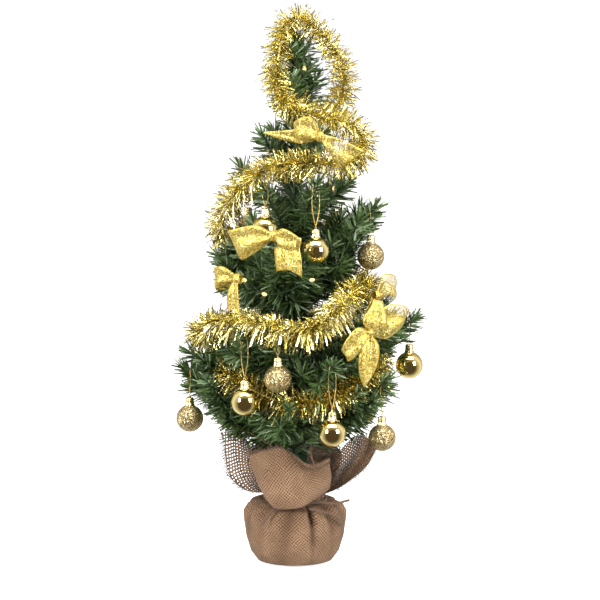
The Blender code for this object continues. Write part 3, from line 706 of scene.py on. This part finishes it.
def make_twine(finish):
    """Three-ply jute round the neck, with its two loose ends."""
    around = NECK_RADIUS + TWINE / 2 + 0.0009
    route = list(TIE_LEFT)
    start = NECK_HEIGHT + TWINE / 2 + 0.0008
    for k in range(1, 14):
        turn = k / 14
        route.append(polar(around + 0.003 * (1 - turn) ** 6, 270 + 360 * turn, start + 1.8 * TWINE * turn))
    path = smooth_route([*route, *TIE_RIGHT], 240)
    frames = frames_along(path)
    plies = []
    for ply in range(3):
        twisted = []
        for k, (_, side, other) in enumerate(frames):
            turn = 2 * math.pi * (k / 5.5 + ply / 3)
            out = side * math.cos(turn) + other * math.sin(turn)
            twisted.append(path[k] + out * TWINE * 0.24)
        plies.append(tube(twisted, [TWINE * 0.29] * len(twisted), 6))
    for end in (path[:14], path[-14:]):
        plies.append(tube(end, [TWINE * (0.50 + 0.07 * math.sin(1.9 * k)) for k in range(14)], 8))
    twine = mesh_piece("twine", joined(plies), finish, stands_for="jute_tie")


# ---------------------------------------------------------------- foliage
GARLAND_POINTS = np.array([tuple(point) for point in smooth_route(GARLAND_ROUTE, 260)])


def climb(share):
    return 0.85 * share + 0.15 * share * share


def branch_point(name, share):
    azimuth, root, reach, tip = metres(BRANCHES[name], 1)
    away = POLE_RADIUS + (reach - POLE_RADIUS) * share
    return polar(away, azimuth, root + (tip - root) * climb(share))


def straight(start, end, count):
    return [Vector(start).lerp(Vector(end), share) for share in np.linspace(0, 1, count)]


def branch_strands(name):
    """The middle lines of a branch: its own wire, the two side twigs and the sprigs."""
    azimuth, root, reach, tip = metres(BRANCHES[name], 1)
    strands = [[branch_point(name, share) for share in np.linspace(0.16, 1, 8)]]
    for leaves, spread in ((0.42, -TWIG_SPREAD), (0.54, TWIG_SPREAD)):
        end = polar(reach * TWIG_REACH, azimuth + spread, root + (tip - root) * climb(TWIG_REACH))
        strands.append(straight(branch_point(name, leaves), end, 5))
    for leaves, spread, far, lift in SPRIGS:
        end = polar(reach * far, azimuth + spread, root + (tip - root) * climb(far) + lift)
        strands.append(straight(branch_point(name, leaves), end, 5))
    for row in LONG_SPRIGS.get(name, ()):
        leaves, *end = metres(row, 1)
        line = straight(branch_point(name, leaves), end, 6)
        strands.append([point + UP * 0.006 * share * (1 - share)
                        for point, share in zip(line, np.linspace(0, 1, 6))])
    return strands


def top_strands():
    heights = np.linspace(LEADER_FOOT - 0.12, TIP_HEIGHT, 14)
    strands = [[Vector((0, 0, height)) for height in heights]]
    shares = np.linspace(0, 1, 6)
    for row in TOP_TWIGS:
        azimuth, root, reach, tip = metres(row, 1)
        strands.append([
            polar(0.0015 + (reach - 0.0015) * share, azimuth, root + (tip - root) * climb(share))
            for share in shares])
    strands.append(straight((0.018, -0.026, 0.455), (0.026, -0.060, 0.461), 6))
    strands.append(straight((-0.036, 0.010, 0.398), (-0.058, 0.004, 0.426), 6))
    tip_sprigs = ((200, 0.500), (330, 0.508), (80, 0.515), (250, 0.530), (10, 0.536), (130, 0.542))
    for azimuth, height in tip_sprigs:
        strands.append([polar(0.001 + 0.016 * share, azimuth, height + 0.026 * share) for share in shares])
    return strands


def needle_lean(at, draw):
    """Needles stand well out near the root and close up towards the tip."""
    return np.radians(np.interp(at, (0, 0.7, 0.92, 1), (60, 56, 46, 18)) + draw.normal(0, 8, len(at)))


def free_of_cloth(tips):
    """Which needle tips stay above the collar."""
    away = np.hypot(tips[:, 0], tips[:, 1])
    inside = np.interp(away, (0.020, 0.040), (0.104, 0.120))
    return tips[:, 2] > np.where(tips[:, 1] < -0.030, 0.137, inside)


def free_of_garland(points, rng):
    """Which needles the garland leaves in place."""
    near = np.full(len(points), 1.0)
    for place in GARLAND_POINTS:
        near = np.minimum(near, np.linalg.norm(points - place, axis=2).min(axis=1))
    return (near > PRESSED_ASIDE) | (rng.random(len(points)) < 0.15)


def trimmed(route):
    """A strand without the bare end that the garland covers."""
    away = [np.linalg.norm(GARLAND_POINTS - np.array(point), axis=1).min() for point in route]
    kept = max([k for k, distance in enumerate(away) if distance > PRESSED_ASIDE] + [1])
    return route[:kept + 1]


def bauble_facts(number):
    """A bauble's name, its ball's middle, the point that it hangs from, and its swing's axis."""
    name = f"bauble_{number:02d}"
    low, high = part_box(name)
    centre = Vector(((low.x + high.x) / 2, (low.y + high.y) / 2, low.z + BALL_RADIUS))
    joint = HINGES[name]
    return name, centre, Vector(joint["pos_m"]), Vector(joint["axis"])


# The room a bauble needs: height over its ball's middle and radius, for the ball and up its cap and ring.
BAUBLE_ROOM = ((0.0, BALL_RADIUS + 0.0012), (0.0170, 0.0060), (0.0205, 0.0056), (0.0240, 0.0052))


def bauble_swings():
    """(place, room, is it a ball at the front) along every bauble, over its whole swing."""
    places = []
    for number in BAUBLES:
        _, centre, hang, axis = bauble_facts(number)
        for degrees in (-15, -10, -5, 0, 5, 10, 15):
            turn = Matrix.Rotation(math.radians(degrees), 3, axis)
            shown = number < FIRST_AT_BACK and abs(degrees) <= 5
            for rise, room in BAUBLE_ROOM:
                place = hang + turn @ (centre + UP * rise - hang)
                places.append((np.array(place), room, shown and rise == 0))
    return places


def box_of_cover():
    """The battery box and its cover, and where the cover slides."""
    low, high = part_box("battery_box")
    cover_low, cover_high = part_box("battery_cover")
    low = np.minimum(low, cover_low) - 0.0025
    high = np.maximum(high, cover_high) + 0.0025
    return low, high + np.array((0, 0, COVER_TRAVEL))


def free_of_parts(points):
    """Which needles or strips, given as points along each, leave the moving parts their room."""
    free = np.ones(len(points), bool)
    for centre, room, shown in SWINGS:
        away = points - centre
        free &= np.linalg.norm(away, axis=2).min(axis=1) > room
        if shown:
            x, y, z = away[:, :, 0], away[:, :, 1], away[:, :, 2]
            ahead = (abs(x) < BALL_RADIUS) & (y < 0) & (y > -0.035)
            free &= ~(ahead & (z > -BALL_RADIUS) & (z < BALL_RADIUS + 0.0115)).any(axis=1)
    inside = (points > COVER_ROOM[0]).all(axis=2) & (points < COVER_ROOM[1]).all(axis=2)
    return free & ~inside.any(axis=1)


def make_foliage(node, strands, seed, leaf, wire):
    rng = np.random.default_rng(seed)
    shapes, shades = [], []
    for route in strands:
        bushy = 1.5 if route[0].x == 0 and route[0].y == 0 else 1.0
        count = int(length_of(route) * NEEDLES_PER_METRE * bushy)
        start, way, ahead, at = bristles(route, count, needle_lean, rng)
        lengths = NEEDLE_LENGTH * rng.uniform(0.78, 1.12, count)
        lengths *= np.interp(at, (0, 0.7, 1), (1, 0.96, 0.66))
        curl = ahead * 0.05 + rng.normal(0, 0.06, (count, 3)) + np.array((0, 0, -0.05))
        widths = NEEDLE_WIDTH * rng.uniform(0.8, 1.2, count)
        centres, sides = blades(start, way, curl, lengths, widths, 3, (0.85, 1.0, 0.6), rng)
        tuft = np.clip(rng.normal(0.44, 0.24, count) + 0.10 * at, 0, 1)
        clear = free_of_cloth(centres[:, -1]) & free_of_garland(centres[:, 1:], rng)
        clear &= free_of_parts(centres)
        shapes.append((centres[clear], sides[clear]))
        shades.append(np.repeat(tuft[clear], 6))
    blades_made = strips(*(np.concatenate(part) for part in zip(*shapes)))
    mesh_piece(f"{node}_needles", blades_made, leaf, stands_for=node,
               attributes={"shade": np.concatenate(shades)})
    stems = []
    for route in strands:
        if free_of_parts(np.array([route]))[0]:
            stem = trimmed(route)
            stems.append(tube(stem, [0.0013] * len(stem), 5))
    if node in BRANCHES:
        root = [branch_point(node, 0.0), branch_point(node, 0.17)]
        stems.append(tube(root, [0.0015, 0.0015], 6))
    mesh_piece(f"{node}_wire", joined(stems), wire)


# ---------------------------------------------------------------- baubles
def make_bauble(number, gold, glitter, brass, lurex):
    name, centre, hang, level = bauble_facts(number)
    shiny = NODES[name].data.materials[0].name.startswith("gold_ball")

    mouth = math.asin(NECK_HOLE / BALL_RADIUS)
    profile = [(NECK_HOLE * 0.9, BALL_RADIUS * math.cos(mouth) - 0.001)]
    for k in range(25):
        angle = mouth + (math.pi - mouth - 0.02) * k / 24
        profile.append((BALL_RADIUS * math.sin(angle), BALL_RADIUS * math.cos(angle)))
    points, faces = turned(profile, 40)
    faces.append(tuple(range(len(points) - 40, len(points)))[::-1])
    ball = mesh_piece(f"{name}_ball", (points, faces), gold if shiny else glitter,
                      name, name)
    ball.matrix_world = Matrix.Translation(centre)

    seat = math.sqrt(BALL_RADIUS ** 2 - NECK_HOLE ** 2)
    top = seat + CAP_HEIGHT
    crown = ((0.0002, top + 0.0002), (0.0028, top + 0.0001), (0.0038, top - 0.0003),
             (0.0041, top - 0.0011), (0.0041, seat + CAP_HEIGHT * 0.5),
             (0.0043, seat + CAP_HEIGHT * 0.2), (0.0048, seat + 0.0003), (0.0053, seat - 0.0009))

    def flute(share, angle):
        return 1.0 + 0.07 * math.sin(12 * angle) * min(share * 2, 1)

    shapes = [turned(crown, 48, flute)]
    ring_middle = UP * (top + 0.0010)
    across = level.cross(UP)
    ring = []
    for k in range(17):
        turn = 2 * math.pi * k / 16
        ring.append(ring_middle + (level * math.cos(turn) + UP * math.sin(turn)) * 0.0017)
    shapes.append(tube(ring, [0.00035] * len(ring), 6))
    cap = mesh_piece(f"{name}_cap", joined(shapes), brass, name, f"{name}_hanger")
    cap.matrix_world = Matrix.Translation(centre)

    knot = centre + UP * (top + 0.0021)
    bulge = min(0.0022, (hang.z - knot.z) * 0.08)
    side = [(LOOP_RADIUS * math.sin(math.pi / 2 * share) + bulge * math.sin(math.pi * share), share)
            for share in np.linspace(0, 1, 15)[:-1]]
    upright = hang.z - knot.z + LOOP_OVER - LOOP_RADIUS
    route = [knot + UP * upright * share + across * out for out, share in side]
    for turn in np.linspace(0, math.pi, 11):
        over = knot + UP * (upright + LOOP_RADIUS * math.sin(turn))
        route.append(over + across * LOOP_RADIUS * math.cos(turn))
    route += [knot + UP * upright * share - across * out for out, share in side[::-1]]
    thread = mesh_piece(f"{name}_thread", tube(route, [THREAD_RADIUS] * len(route), 6), lurex,
                        name)


# ---------------------------------------------------------------- bows
# Each ribbon is a list of stations, and each station its two edges, in millimetres from the bow's
# centre: right, up, and towards the viewer. Then its notch, and how sheer it is.
BOW_RIBBONS = {
    "bow_top": (
        (((0, 3, 2), (0, -3, 2)), ((-10, 20, 10), (-8, -2, 9)), ((-24, 18, 8), (-22, -2, 8)),
         ((-27, 12, 0), (-25, -6, 0)), ((-10, 8, -4), (-10, -6, -3)), ((0, 2, -1), (0, -2, -1)), 0, 0.72),
        (((-18, 9, 2), (-18, -8, 3)), ((-40, 6, 1), (-40, -3, 1)), ((-58, 5, -2), (-58, 3, -2)), 0, 0.97),
        (((2, 3, 3), (0, -3, 3)), ((22, -3, 9), (8, -16, 8)), ((46, -15, 6), (20, -33, 6)), 0, 0.93),
    ),
    "bow_left": (
        (((-1, 3, 3), (-1, -3, 3)), ((-17, 11, 10), (-15, -9, 10)), ((-44, 6, 6), (-29, -18, 7)),
         ((-47, 2, -2), (-35, -21, -1)), ((-36, -9, -6), (-33, -26, -6)), ((-14, 2, -4), (-12, -13, -4)),
         ((-1, 3, 0), (-1, -3, 0)), 0, 0.35),
        (((1, 3, 3), (1, -3, 3)), ((12, 8, 10), (8, -10, 9)), ((29, -3, 7), (25, -15, 7)),
         ((28, -13, 3), (3, -11, 4)), ((30, -25, 6), (2, -22, 6)), ((30, -38, 5), (3, -32, 5)), 5, 0.2),
    ),
    "bow_left_small": (
        (((17, 8, 2), (17, 4, 2)), ((4, 18, 7), (1, 1, 7)), ((-8, 17, 4), (-7, -4, 5)),
         ((-10, 13, -3), (-9, -8, -3)), ((6, 8, -4), (6, -4, -4)), ((17, 7, -1), (17, 4, -1)), 0, 0.3),
        (((18, 6, 3), (13, 4, 3)), ((19, -6, 5), (7, -7, 5)), ((20, -25, 4), (5, -23, 4)), 4, 0.6),
    ),
    "bow_right": (
        (((-7, 0, 4), (-1, -1, 4)), ((-14, 12, 9), (12, 5, 10)), ((-3, 27, 6), (11, 26, 7)),
         ((0, 32, 0), (11, 29, 0)), ((-8, 14, -4), (10, 10, -4)), ((-6, 0, -1), (0, 0, -1)), 0, 0.1),
        (((-4, 1, 3), (-2, -6, 3)), ((12, 25, 8), (12, -9, 8)), ((36, 24, 4), (25, -3, 6)),
         ((41, 14, -2), (33, 1, -1)), ((20, 14, -6), (16, 0, -5)), ((-3, 1, -2), (-2, -5, -2)), 0, 0.93),
        (((-6, 0, 4), (-4, -5, 4)), ((-20, 4, 9), (-12, -14, 9)), ((-32, -9, 6), (-23, -28, 7)),
         ((-34, -20, 0), (-27, -31, 0)), ((-20, -4, -4), (-14, -16, -4)), ((-6, -1, -1), (-4, -4, -1)), 0, 0.2),
        (((-4, -2, 4), (-7, -6, 4)), ((5, -16, 7), (-17, -22, 7)), ((3, -38, 5), (-16, -44, 5)),
         ((-8, -58, 3), (-10, -59, 3)), 0, 0.2),
    ),
    "bow_right_small": (
        (((-10, 4, 3), (-8, -8, 3)), ((-5, 20, 8), (1, -2, 9)), ((12, 18, 6), (12, -5, 7)),
         ((18, 6, 0), (15, -9, 1)), ((8, 12, -6), (6, -5, -5)), ((-8, 2, -2), (-7, -6, -2)), 0, 0.93),
    ),
}
# Each bow's middle, the way it faces in degrees, and its knot in the ribbons' own millimetres.
BOWS = {
    "bow_top": ((0.026, -0.070, 0.462), 280, (0, 0)),
    "bow_left": ((-0.022, -0.096, 0.360), 258, (0, 0)),
    "bow_left_small": ((-0.074, -0.070, 0.308), 224, (17, 6)),
    "bow_right": ((0.080, -0.098, 0.262), 308, (-4, -2)),
    "bow_right_small": ((0.092, -0.044, 0.296), 336, (-9, -2)),
}
RIBBON_COLUMNS = 12
RIBBON_STEPS = 10


def ribbon(stations, notch, sheer):
    """Points and faces, places across, UVs, sheerness and length of one piece of ribbon."""
    count = RIBBON_STEPS * (len(stations) - 1) + 1
    lines = [smooth_route([Vector(pair[side]) * 0.001 for pair in stations], count) for side in (0, 1)]
    points, across, uvs, sheers = [], [], [], []
    gone = 0.0
    for k, (one, two) in enumerate(zip(*lines)):
        if k:
            gone += ((one + two) / 2 - (lines[0][k - 1] + lines[1][k - 1]) / 2).length
        share = k / (len(lines[0]) - 1)
        width = (two - one).length
        for n in range(RIBBON_COLUMNS + 1):
            a = n / RIBBON_COLUMNS
            wave = 0.0015 * math.sin(2.6 * math.pi * a + 45 * gone) * min(width / 0.02, 1)
            point = one.lerp(two, a) + UP * (wave + 0.0015 * (1 - (2 * a - 1) ** 2))
            if notch and share > 0.8:
                ahead = (lines[0][-1] + lines[1][-1] - lines[0][-3] - lines[1][-3]).normalized()
                point += ahead * 0.001 * notch * abs(2 * a - 1) * (share - 0.8) / 0.2
            points.append(point)
            across.append(2 * a - 1)
            uvs.append((RIBBON_WIDTH * (a - 0.5), gone))
            sheers.append(sheer * min(width / 0.018, 1.0))
    return (points, quads(len(lines[0]), RIBBON_COLUMNS + 1)), across, uvs, sheers, gone


def make_bow(name, gold, wire):
    middle, facing, knot = BOWS[name]
    turn = math.radians((facing + 90) % 360)
    turn = turn - 2 * math.pi if turn > math.pi else turn
    lean = Matrix.Rotation(turn * 0.55, 4, "Z")
    shapes, across, uvs, sheers, total = [], [], [], [], 0.0
    for *stations, notch, sheer in BOW_RIBBONS[name]:
        shape, more_across, more_uvs, more_sheers, gone = ribbon(stations, notch, sheer)
        shapes.append(shape)
        across += more_across
        uvs += more_uvs
        sheers += more_sheers
        total += gone
    points, faces = joined(shapes)
    knot = Vector((*knot, 2)) * 0.001
    faces += quads(13, 5, start=len(points))
    for k in range(13):
        turn = 2 * math.pi * k / 12
        point = knot + Vector((0, math.cos(turn) * 0.0052, math.sin(turn) * 0.0048))
        for n in range(5):
            a = n / 4 - 0.5
            points.append(point + Vector((a * 0.0075, 0, 0)) * (1 + 0.15 * math.sin(5 * k)))
            across.append(a * 1.6)
            uvs.append((a * 0.008, 0.003 * k))
            sheers.append(0.0)
    local = Matrix(((1, 0, 0, 0), (0, 0, -1, 0), (0, 1, 0, 0), (0, 0, 0, 1)))
    place = Matrix.Translation(middle) @ lean @ local
    world = [place @ point for point in points]
    bow = mesh_piece(f"{name}_ribbon", (world, faces), gold, stands_for=name,
                     attributes={"across": across, "sheer": sheers}, uvs=uvs)
    skin = bow.modifiers.new("thickness", "SOLIDIFY")
    skin.thickness = 0.00025
    route = smooth_route([metres(point) for point in BOW_WIRES[name]], 16)
    coil = []
    for k, turn in enumerate(np.linspace(0, 12.6, 40)):
        around = knot + Vector((0, 0.0058 * math.cos(turn), 0.0052 * math.sin(turn)))
        coil.append(place @ (around + Vector((0.0006 * (k / 20 - 1), 0, 0))))
    strands = joined([tube(route, [0.0005] * 16, 6), tube(coil, [0.0004] * 40, 5)])
    tie = mesh_piece(f"{name}_wire", strands, wire)


# ---------------------------------------------------------------- burlap
# The sack's profile: place along it, radius and height, from the middle of the underside to the neck.
SACK = [metres(row, 1) for row in (
    (0.0, 0, 0), (0.16, 26, 0), (0.26, 39.5, 3.5), (0.36, 47, 14), (0.48, 51.5, 30),
    (0.60, 53.5, 46), (0.69, 53, 57), (0.77, 48.5, 65.5), (0.84, 40, 69), (0.92, 30.5, 67.5),
    (1.0, 30, 79),
)]
# Deep folds under the knot: azimuth at the neck and at the foot, half-width in degrees, depth.
CREASES = [metres(row, 3) for row in (
    (288, 294, 3.4, 9), (268, 254, 8, 4.2), (313, 324, 7, 5.2), (238, 219, 8, 3.6),
    (340, 350, 7, 3.5), (205, 198, 7, 4), (20, 18, 8, 4.5), (60, 66, 7, 5), (100, 96, 7, 5),
    (140, 146, 7, 5), (172, 170, 6, 4),
)]
# The collar's flaps, each as rows of points in millimetres, from the neck up to its cut rim.
LEFT_FLAP = (
    ((-31, 0, 74), (-30.5, 6, 75), (-27, 14, 75)), ((-54, -10, 80.5), (-44, -4, 84), (-34, 4, 88)),
    ((-70, -12, 96), (-55, -8, 99), (-37, -2, 102)),
    ((-75, -8, 116), (-59, -4, 117), (-40, 0, 116)),
    ((-79, -4, 141), (-62, 2, 142), (-48, 4, 124)),
)
RIGHT_FLAP = (
    ((27, 12, 74), (31, 0, 75), (29, -11, 75)), ((37, 14, 90), (44, 2, 85), (46, -14, 81.5)),
    ((44, 16, 110), (56, 5, 102), (62, -13, 93.5)), ((52, 17, 124), (68, 7, 120), (78, -10, 108)),
    ((61, 17, 133), (77, 8, 135), (87, -3, 123)),
)
FRONT_FLAP = (
    ((-25, -17, 75), (-13, -27, 75), (1, -30, 75), (15, -26, 75), (25, -17, 75)),
    ((-33, -31, 86), (-20, -44, 76), (-2, -48.5, 76.5), (18, -43, 79), (32, -28, 85)),
    ((-37.5, -40, 86), (-22.5, -54.5, 67.8), (-4, -59, 68), (17, -53, 73.5), (36.5, -35, 84.5)),
    ((-42.5, -41, 99), (-27.5, -58, 84), (-2, -63.5, 83.5), (22, -55.5, 87), (39, -37, 98)),
    ((-46.5, -40, 110), (-29, -56, 106), (-4, -61.5, 107), (18, -54.5, 104), (37.5, -37, 109)),
    ((-48, -37, 121.5), (-31, -51, 127.5), (-11, -57, 131), (13, -53, 115), (37, -35, 118)),
    ((-48.2, -37.2, 122.2), (-31.2, -51.4, 128.4), (-11.8, -57.6, 131.8), (15, -59, 115),
     (37.5, -41, 119)),
    ((-48.4, -37.3, 122.6), (-31.4, -51.6, 128.8), (-12.2, -57.8, 132.2), (15.5, -60, 111.5),
     (36.5, -43, 115)),
)
# Loose jute threads in millimetres: radius, then points.
STRAY_THREADS = (
    (1.3, (15, -52, 66.5), (28, -50, 64), (38, -44, 60), (45.5, -36, 54), (50, -29, 44)),
    (0.5, (-59, -25, 148), (-46, -42, 145.5), (-33, -50, 138.5), (-21, -54, 132), (-15, -56, 124)),
    (0.5, (18.5, -62, 152), (17, -63, 138), (17.5, -62, 124), (22, -59, 114), (32, -48, 112)),
    (0.4, (-86, -10, 112), (-73, -13, 98), (-61, -14, 86)),
    (0.3, (-92, -6, 133), (-84, -8, 124), (-76, -8, 113)),
    (0.3, (-76, -14, 99), (-77.5, -15, 90), (-80, -15, 81)),
)


def off_crease(angle, share, top, foot):
    """How far round an angle is from the middle of a crease that runs from its foot to its top."""
    middle = math.radians(foot + (top - foot) * clamp((share - 0.35) / 0.55))
    return (angle - middle + math.pi) % (2 * math.pi) - math.pi


def creased(angle, share):
    """How far the sack's surface is drawn in by its folds."""
    drawn = 0.0
    strength = math.sin(math.pi * clamp((share - 0.34) / 0.62)) ** 0.8
    strength *= 0.22 + 0.78 * clamp((share - 0.58) / 0.12)
    for top, foot, wide, depth in CREASES:
        off = off_crease(angle, share, top, foot)
        wide = math.radians(wide)
        ridge = math.exp(-((abs(off) - 2.2 * wide) / wide) ** 2)
        drawn += depth * math.exp(-(off / wide) ** 2) - 0.30 * depth * ridge
    return drawn * strength


def sack_point(azimuth, share):
    """A point on the sack: share 0 is the middle of its underside and 1 the top of the neck."""
    angle = math.radians(azimuth)
    for one, two in zip(SACK, SACK[1:]):
        if share <= two[0]:
            part = (share - one[0]) / (two[0] - one[0])
            radius, height = one[1] + (two[1] - one[1]) * part, one[2] + (two[2] - one[2]) * part
            break
    radius -= creased(angle, share)
    pleat = max(share - 0.70, 0) / 0.30
    radius += 0.0011 * math.cos(21 * angle + 1.3 * math.sin(3 * angle)) * min(pleat * 3, 1)
    radius += 0.0010 * math.sin(2 * angle + 1.0) * min(share * 2, 1) * (1 - pleat)
    sag = math.sin(math.pi * clamp((share - 0.55) / 0.42))
    height -= 0.0035 * math.cos(angle - math.radians(285)) * sag
    return Vector((radius * math.cos(angle), radius * math.sin(angle), height))


def fold_shade(turn, share):
    """How far into a crease a place on the sack lies, from 0 to 1: the painted shade that darkens the cloth's
    colour in its creases.
    """
    angle, deepest = 2 * math.pi * turn, 0.0
    for top, foot, wide, depth in CREASES:
        off = off_crease(angle, share, top, foot)
        deepest = max(deepest, math.exp(-(off / math.radians(wide * 0.9)) ** 2) * depth / 0.010)
    return deepest * clamp((share - 0.30) / 0.25)


def back_point(azimuth, share):
    """A point on the flap at the back: share 0 is the neck and 1 the rim."""
    angle = math.radians(azimuth)
    lobe = math.cos(math.radians(azimuth - 90) * 1.1)
    reach = 0.046 + 0.026 * lobe
    height = 0.098 + 0.032 * lobe
    radius = 0.031 + (reach - 0.031) * (0.3 * share + 0.7 * share ** 1.6)
    radius += 0.0022 * math.sin(16 * angle) * (1 - share) + 0.0016 * math.sin(7 * angle + 3 * share) * share
    return Vector((radius * math.cos(angle), radius * math.sin(angle), 0.0745 + (height - 0.0745) * share ** 0.9))


def patch(rows, across, along):
    """A smooth grid through rows of points: a list of rows, each from the first side to the other."""
    lines = [smooth_route([metres(point) for point in row], across + 1) for row in rows]
    columns = [smooth_route([line[k] for line in lines], along + 1) for k in range(across + 1)]
    return [[column[k] for column in columns] for k in range(along + 1)]


def wrinkled(grid, depth, seed):
    """The grid with small uneven waves, along its own normals."""
    made = []
    for j, row in enumerate(grid):
        made.append([])
        for k, point in enumerate(row):
            side = row[min(k + 1, len(row) - 1)] - row[max(k - 1, 0)]
            up = grid[min(j + 1, len(grid) - 1)][k] - grid[max(j - 1, 0)][k]
            a, b = k / (len(row) - 1), j / (len(grid) - 1)
            wave = math.sin(9 * a + seed) * math.sin(7 * b + 2 * seed)
            wave += 0.6 * math.sin(17 * a + 5 * b + seed)
            wave += 1.6 * math.cos(26 * a + seed) * max(0.35 - b, 0)
            made[-1].append(point + side.cross(up).normalized() * depth * wave)
    return made


class Cloth:
    """Points, faces, UVs in metres, looseness and the painted shade of the creases, gathered from several grids.
    """

    def __init__(self):
        self.points, self.faces, self.uvs, self.loose, self.fold = [], [], [], [], []

    def add(self, grid, turn, ring=False, loose=None, stretch=1.0, fold=None):
        """Adds a grid. Turn is its weave's angle in degrees."""
        wide = len(grid[0])
        self.faces += quads(len(grid), wide, ring, len(self.points))
        cos, sin = math.cos(math.radians(turn)), math.sin(math.radians(turn))
        down = [0.0] * wide
        for j, row in enumerate(grid):
            middle = wide // 2
            over = [0.0] * wide
            for k in range(1, wide):
                over[k] = over[k - 1] + (row[k] - row[k - 1]).length
            for k, point in enumerate(row):
                if j:
                    at = k if ring else middle
                    down[k] += (row[at] - grid[j - 1][at]).length
                u = (2 * math.pi * k / wide * 0.050 if ring else over[k] - over[middle]) * stretch
                v = down[k] * stretch
                self.points.append(point)
                self.uvs.append((u * cos - v * sin, u * sin + v * cos))
                self.loose.append(loose(k / (wide - 1), j / (len(grid) - 1)) if loose else 0.0)
                # the painted shade of the creases, one number for each point
                self.fold.append(fold(k / wide, j / (len(grid) - 1)) if fold else 0.0)


def make_burlap(finish, fibre):
    cloth = Cloth()
    around, up = 300, 84
    sack = [[sack_point(360 * k / around, 0.003 + 0.997 * j / up) for k in range(around)]
            for j in range(up + 1)]
    # The sack's creases get painted shade in the cloth's colour.
    cloth.add(sack, 42, ring=True, fold=fold_shade)
    cloth.faces.append(tuple(range(around))[::-1])
    back = [[back_point(8 + 160 * k / 90, j / 26) for k in range(91)] for j in range(27)]
    cloth.add(back, 30, loose=lambda a, b: 0.25 * b)
    left = wrinkled(patch(LEFT_FLAP, 40, 60), 0.0009, 1.0)
    cloth.add(left, 4, loose=lambda a, b: min(1.5 * b + 0.2, 0.9) * clamp(1.25 - 1.1 * a), stretch=0.80)
    right = wrinkled(patch(RIGHT_FLAP, 40, 60), 0.0009, 2.0)
    cloth.add(right, 12, loose=lambda a, b: min(1.3 * b, 0.75) * max(1 - 1.2 * a, 0), stretch=0.85)
    front = wrinkled(patch(FRONT_FLAP, 80, 80), 0.0008, 3.0)
    cloth.add(front, 38)
    piece = mesh_piece("burlap_cloth", (cloth.points, cloth.faces), finish,
                       stands_for="burlap_wrap", uvs=cloth.uvs,
                       attributes={"loose": cloth.loose, "fold": cloth.fold})
    # each rim, a line behind it, and how much it frays
    rims = [(left[-1], left[-4], 1.0), ([row[0] for row in left], [row[2] for row in left], 1.0),
            (right[-1], right[-4], 0.7), ([row[-1] for row in right], [row[-3] for row in right], 0.4),
            (front[-1], front[-4], 0.5), (back[-1], back[-3], 0.6)]
    fringe = make_fringe(rims, fibre)


def make_fringe(rims, fibre):
    """Thread ends that stick out of the cut rims, and a few loose threads."""
    rng = np.random.default_rng(5)
    shapes = []
    for edge, inner, amount in rims:
        count = int(length_of(edge) / 0.0014)
        outer, behind = smooth_route(edge, count), smooth_route(inner, count)
        for start, back in zip(outer, behind):
            ahead = (start - back).normalized()
            long = rng.uniform(0.0010, 0.0045) * (0.5 + amount)
            curl = Vector(rng.normal(0, 0.30, 3))
            route = [start + (ahead * share + curl * share * share) * long for share in (-0.3, 0.2, 0.6, 1)]
            shapes.append(tube(route, [0.0005, 0.00045, 0.0004, 0.00025], 5))
    for radius, *points in STRAY_THREADS:
        route = smooth_route([metres(point) for point in points], 30)
        shapes.append(tube(route, [radius / 1000] * 30, 6))
    return mesh_piece("burlap_fringe", joined(shapes), fibre)


# ---------------------------------------------------------------- CAD parts that stay
def repaint(node, finish):
    NODES[node].data.materials.clear()
    NODES[node].data.materials.append(finish)


SWINGS = bauble_swings()
COVER_ROOM = box_of_cover()


def build():
    make_studio()
    core = strand_paint("tinsel_core", 0.9, 900.0, 1.0, (0.22, 0.16, 0.035), (0.52, 0.40, 0.12),
                        (0.25, 0.5), 0.0003)
    make_garland(core, tinsel_paint())
    string = strand_paint("string_wire", 0.2, 900.0, 1.0, (0.006, 0.018, 0.006), (0.014, 0.036, 0.014),
                          (0.30, 0.5), 0.0002)
    make_string(string, lamp_paint())
    jute = jute_paint()
    make_twine(jute)
    leaf = needle_paint()
    wire = strand_paint("twisted_wire", 0.3, 700.0, 4.0, (0.010, 0.022, 0.009), (0.050, 0.060, 0.030),
                        (0.40, 0.65), 0.0003)
    for seed, name in enumerate(BRANCHES):
        make_foliage(name, branch_strands(name), 100 + seed, leaf, wire)
    make_foliage("tree_top", top_strands(), 99, leaf, wire)
    gold = mottled_paint("mirror_gold", 1.0, 45.0, (0.86, 0.67, 0.23), (0.93, 0.76, 0.33),
                         (300.0, 0.06, 0.12), (120.0, 0.00008))
    brass = mottled_paint("gold_cap", 1.0, 400.0, (0.80, 0.60, 0.26), (0.95, 0.80, 0.48),
                          (800.0, 0.16, 0.34), (1500.0, 0.0001))
    lurex = strand_paint("gold_thread", 0.8, 1800.0, 0.4, (0.62, 0.34, 0.06), (0.95, 0.72, 0.25),
                         (0.25, 0.5), 0.0002)
    glitter = glitter_paint()
    for number in BAUBLES:
        make_bauble(number, gold, glitter, brass, lurex)
    ribbon_gold = ribbon_paint()
    for name in BOW_RIBBONS:
        make_bow(name, ribbon_gold, lurex)
    make_burlap(burlap_paint(), jute)
    repaint("base_weight", plaster_paint())
    repaint("trunk_pole", moulded_paint("pole_paint", (0.015, 0.045, 0.018), (0.025, 0.065, 0.028)))
    case = moulded_paint("case_green", (0.010, 0.050, 0.018), (0.014, 0.065, 0.024))
    for node in ("battery_box", "battery_cover", "battery_switch"):
        repaint(node, case)
    sleeve = moulded_paint("cell_sleeve", (0.02, 0.02, 0.025), (0.03, 0.03, 0.035))
    for node in ("battery_cell_1", "battery_cell_2"):
        repaint(node, sleeve)


build()
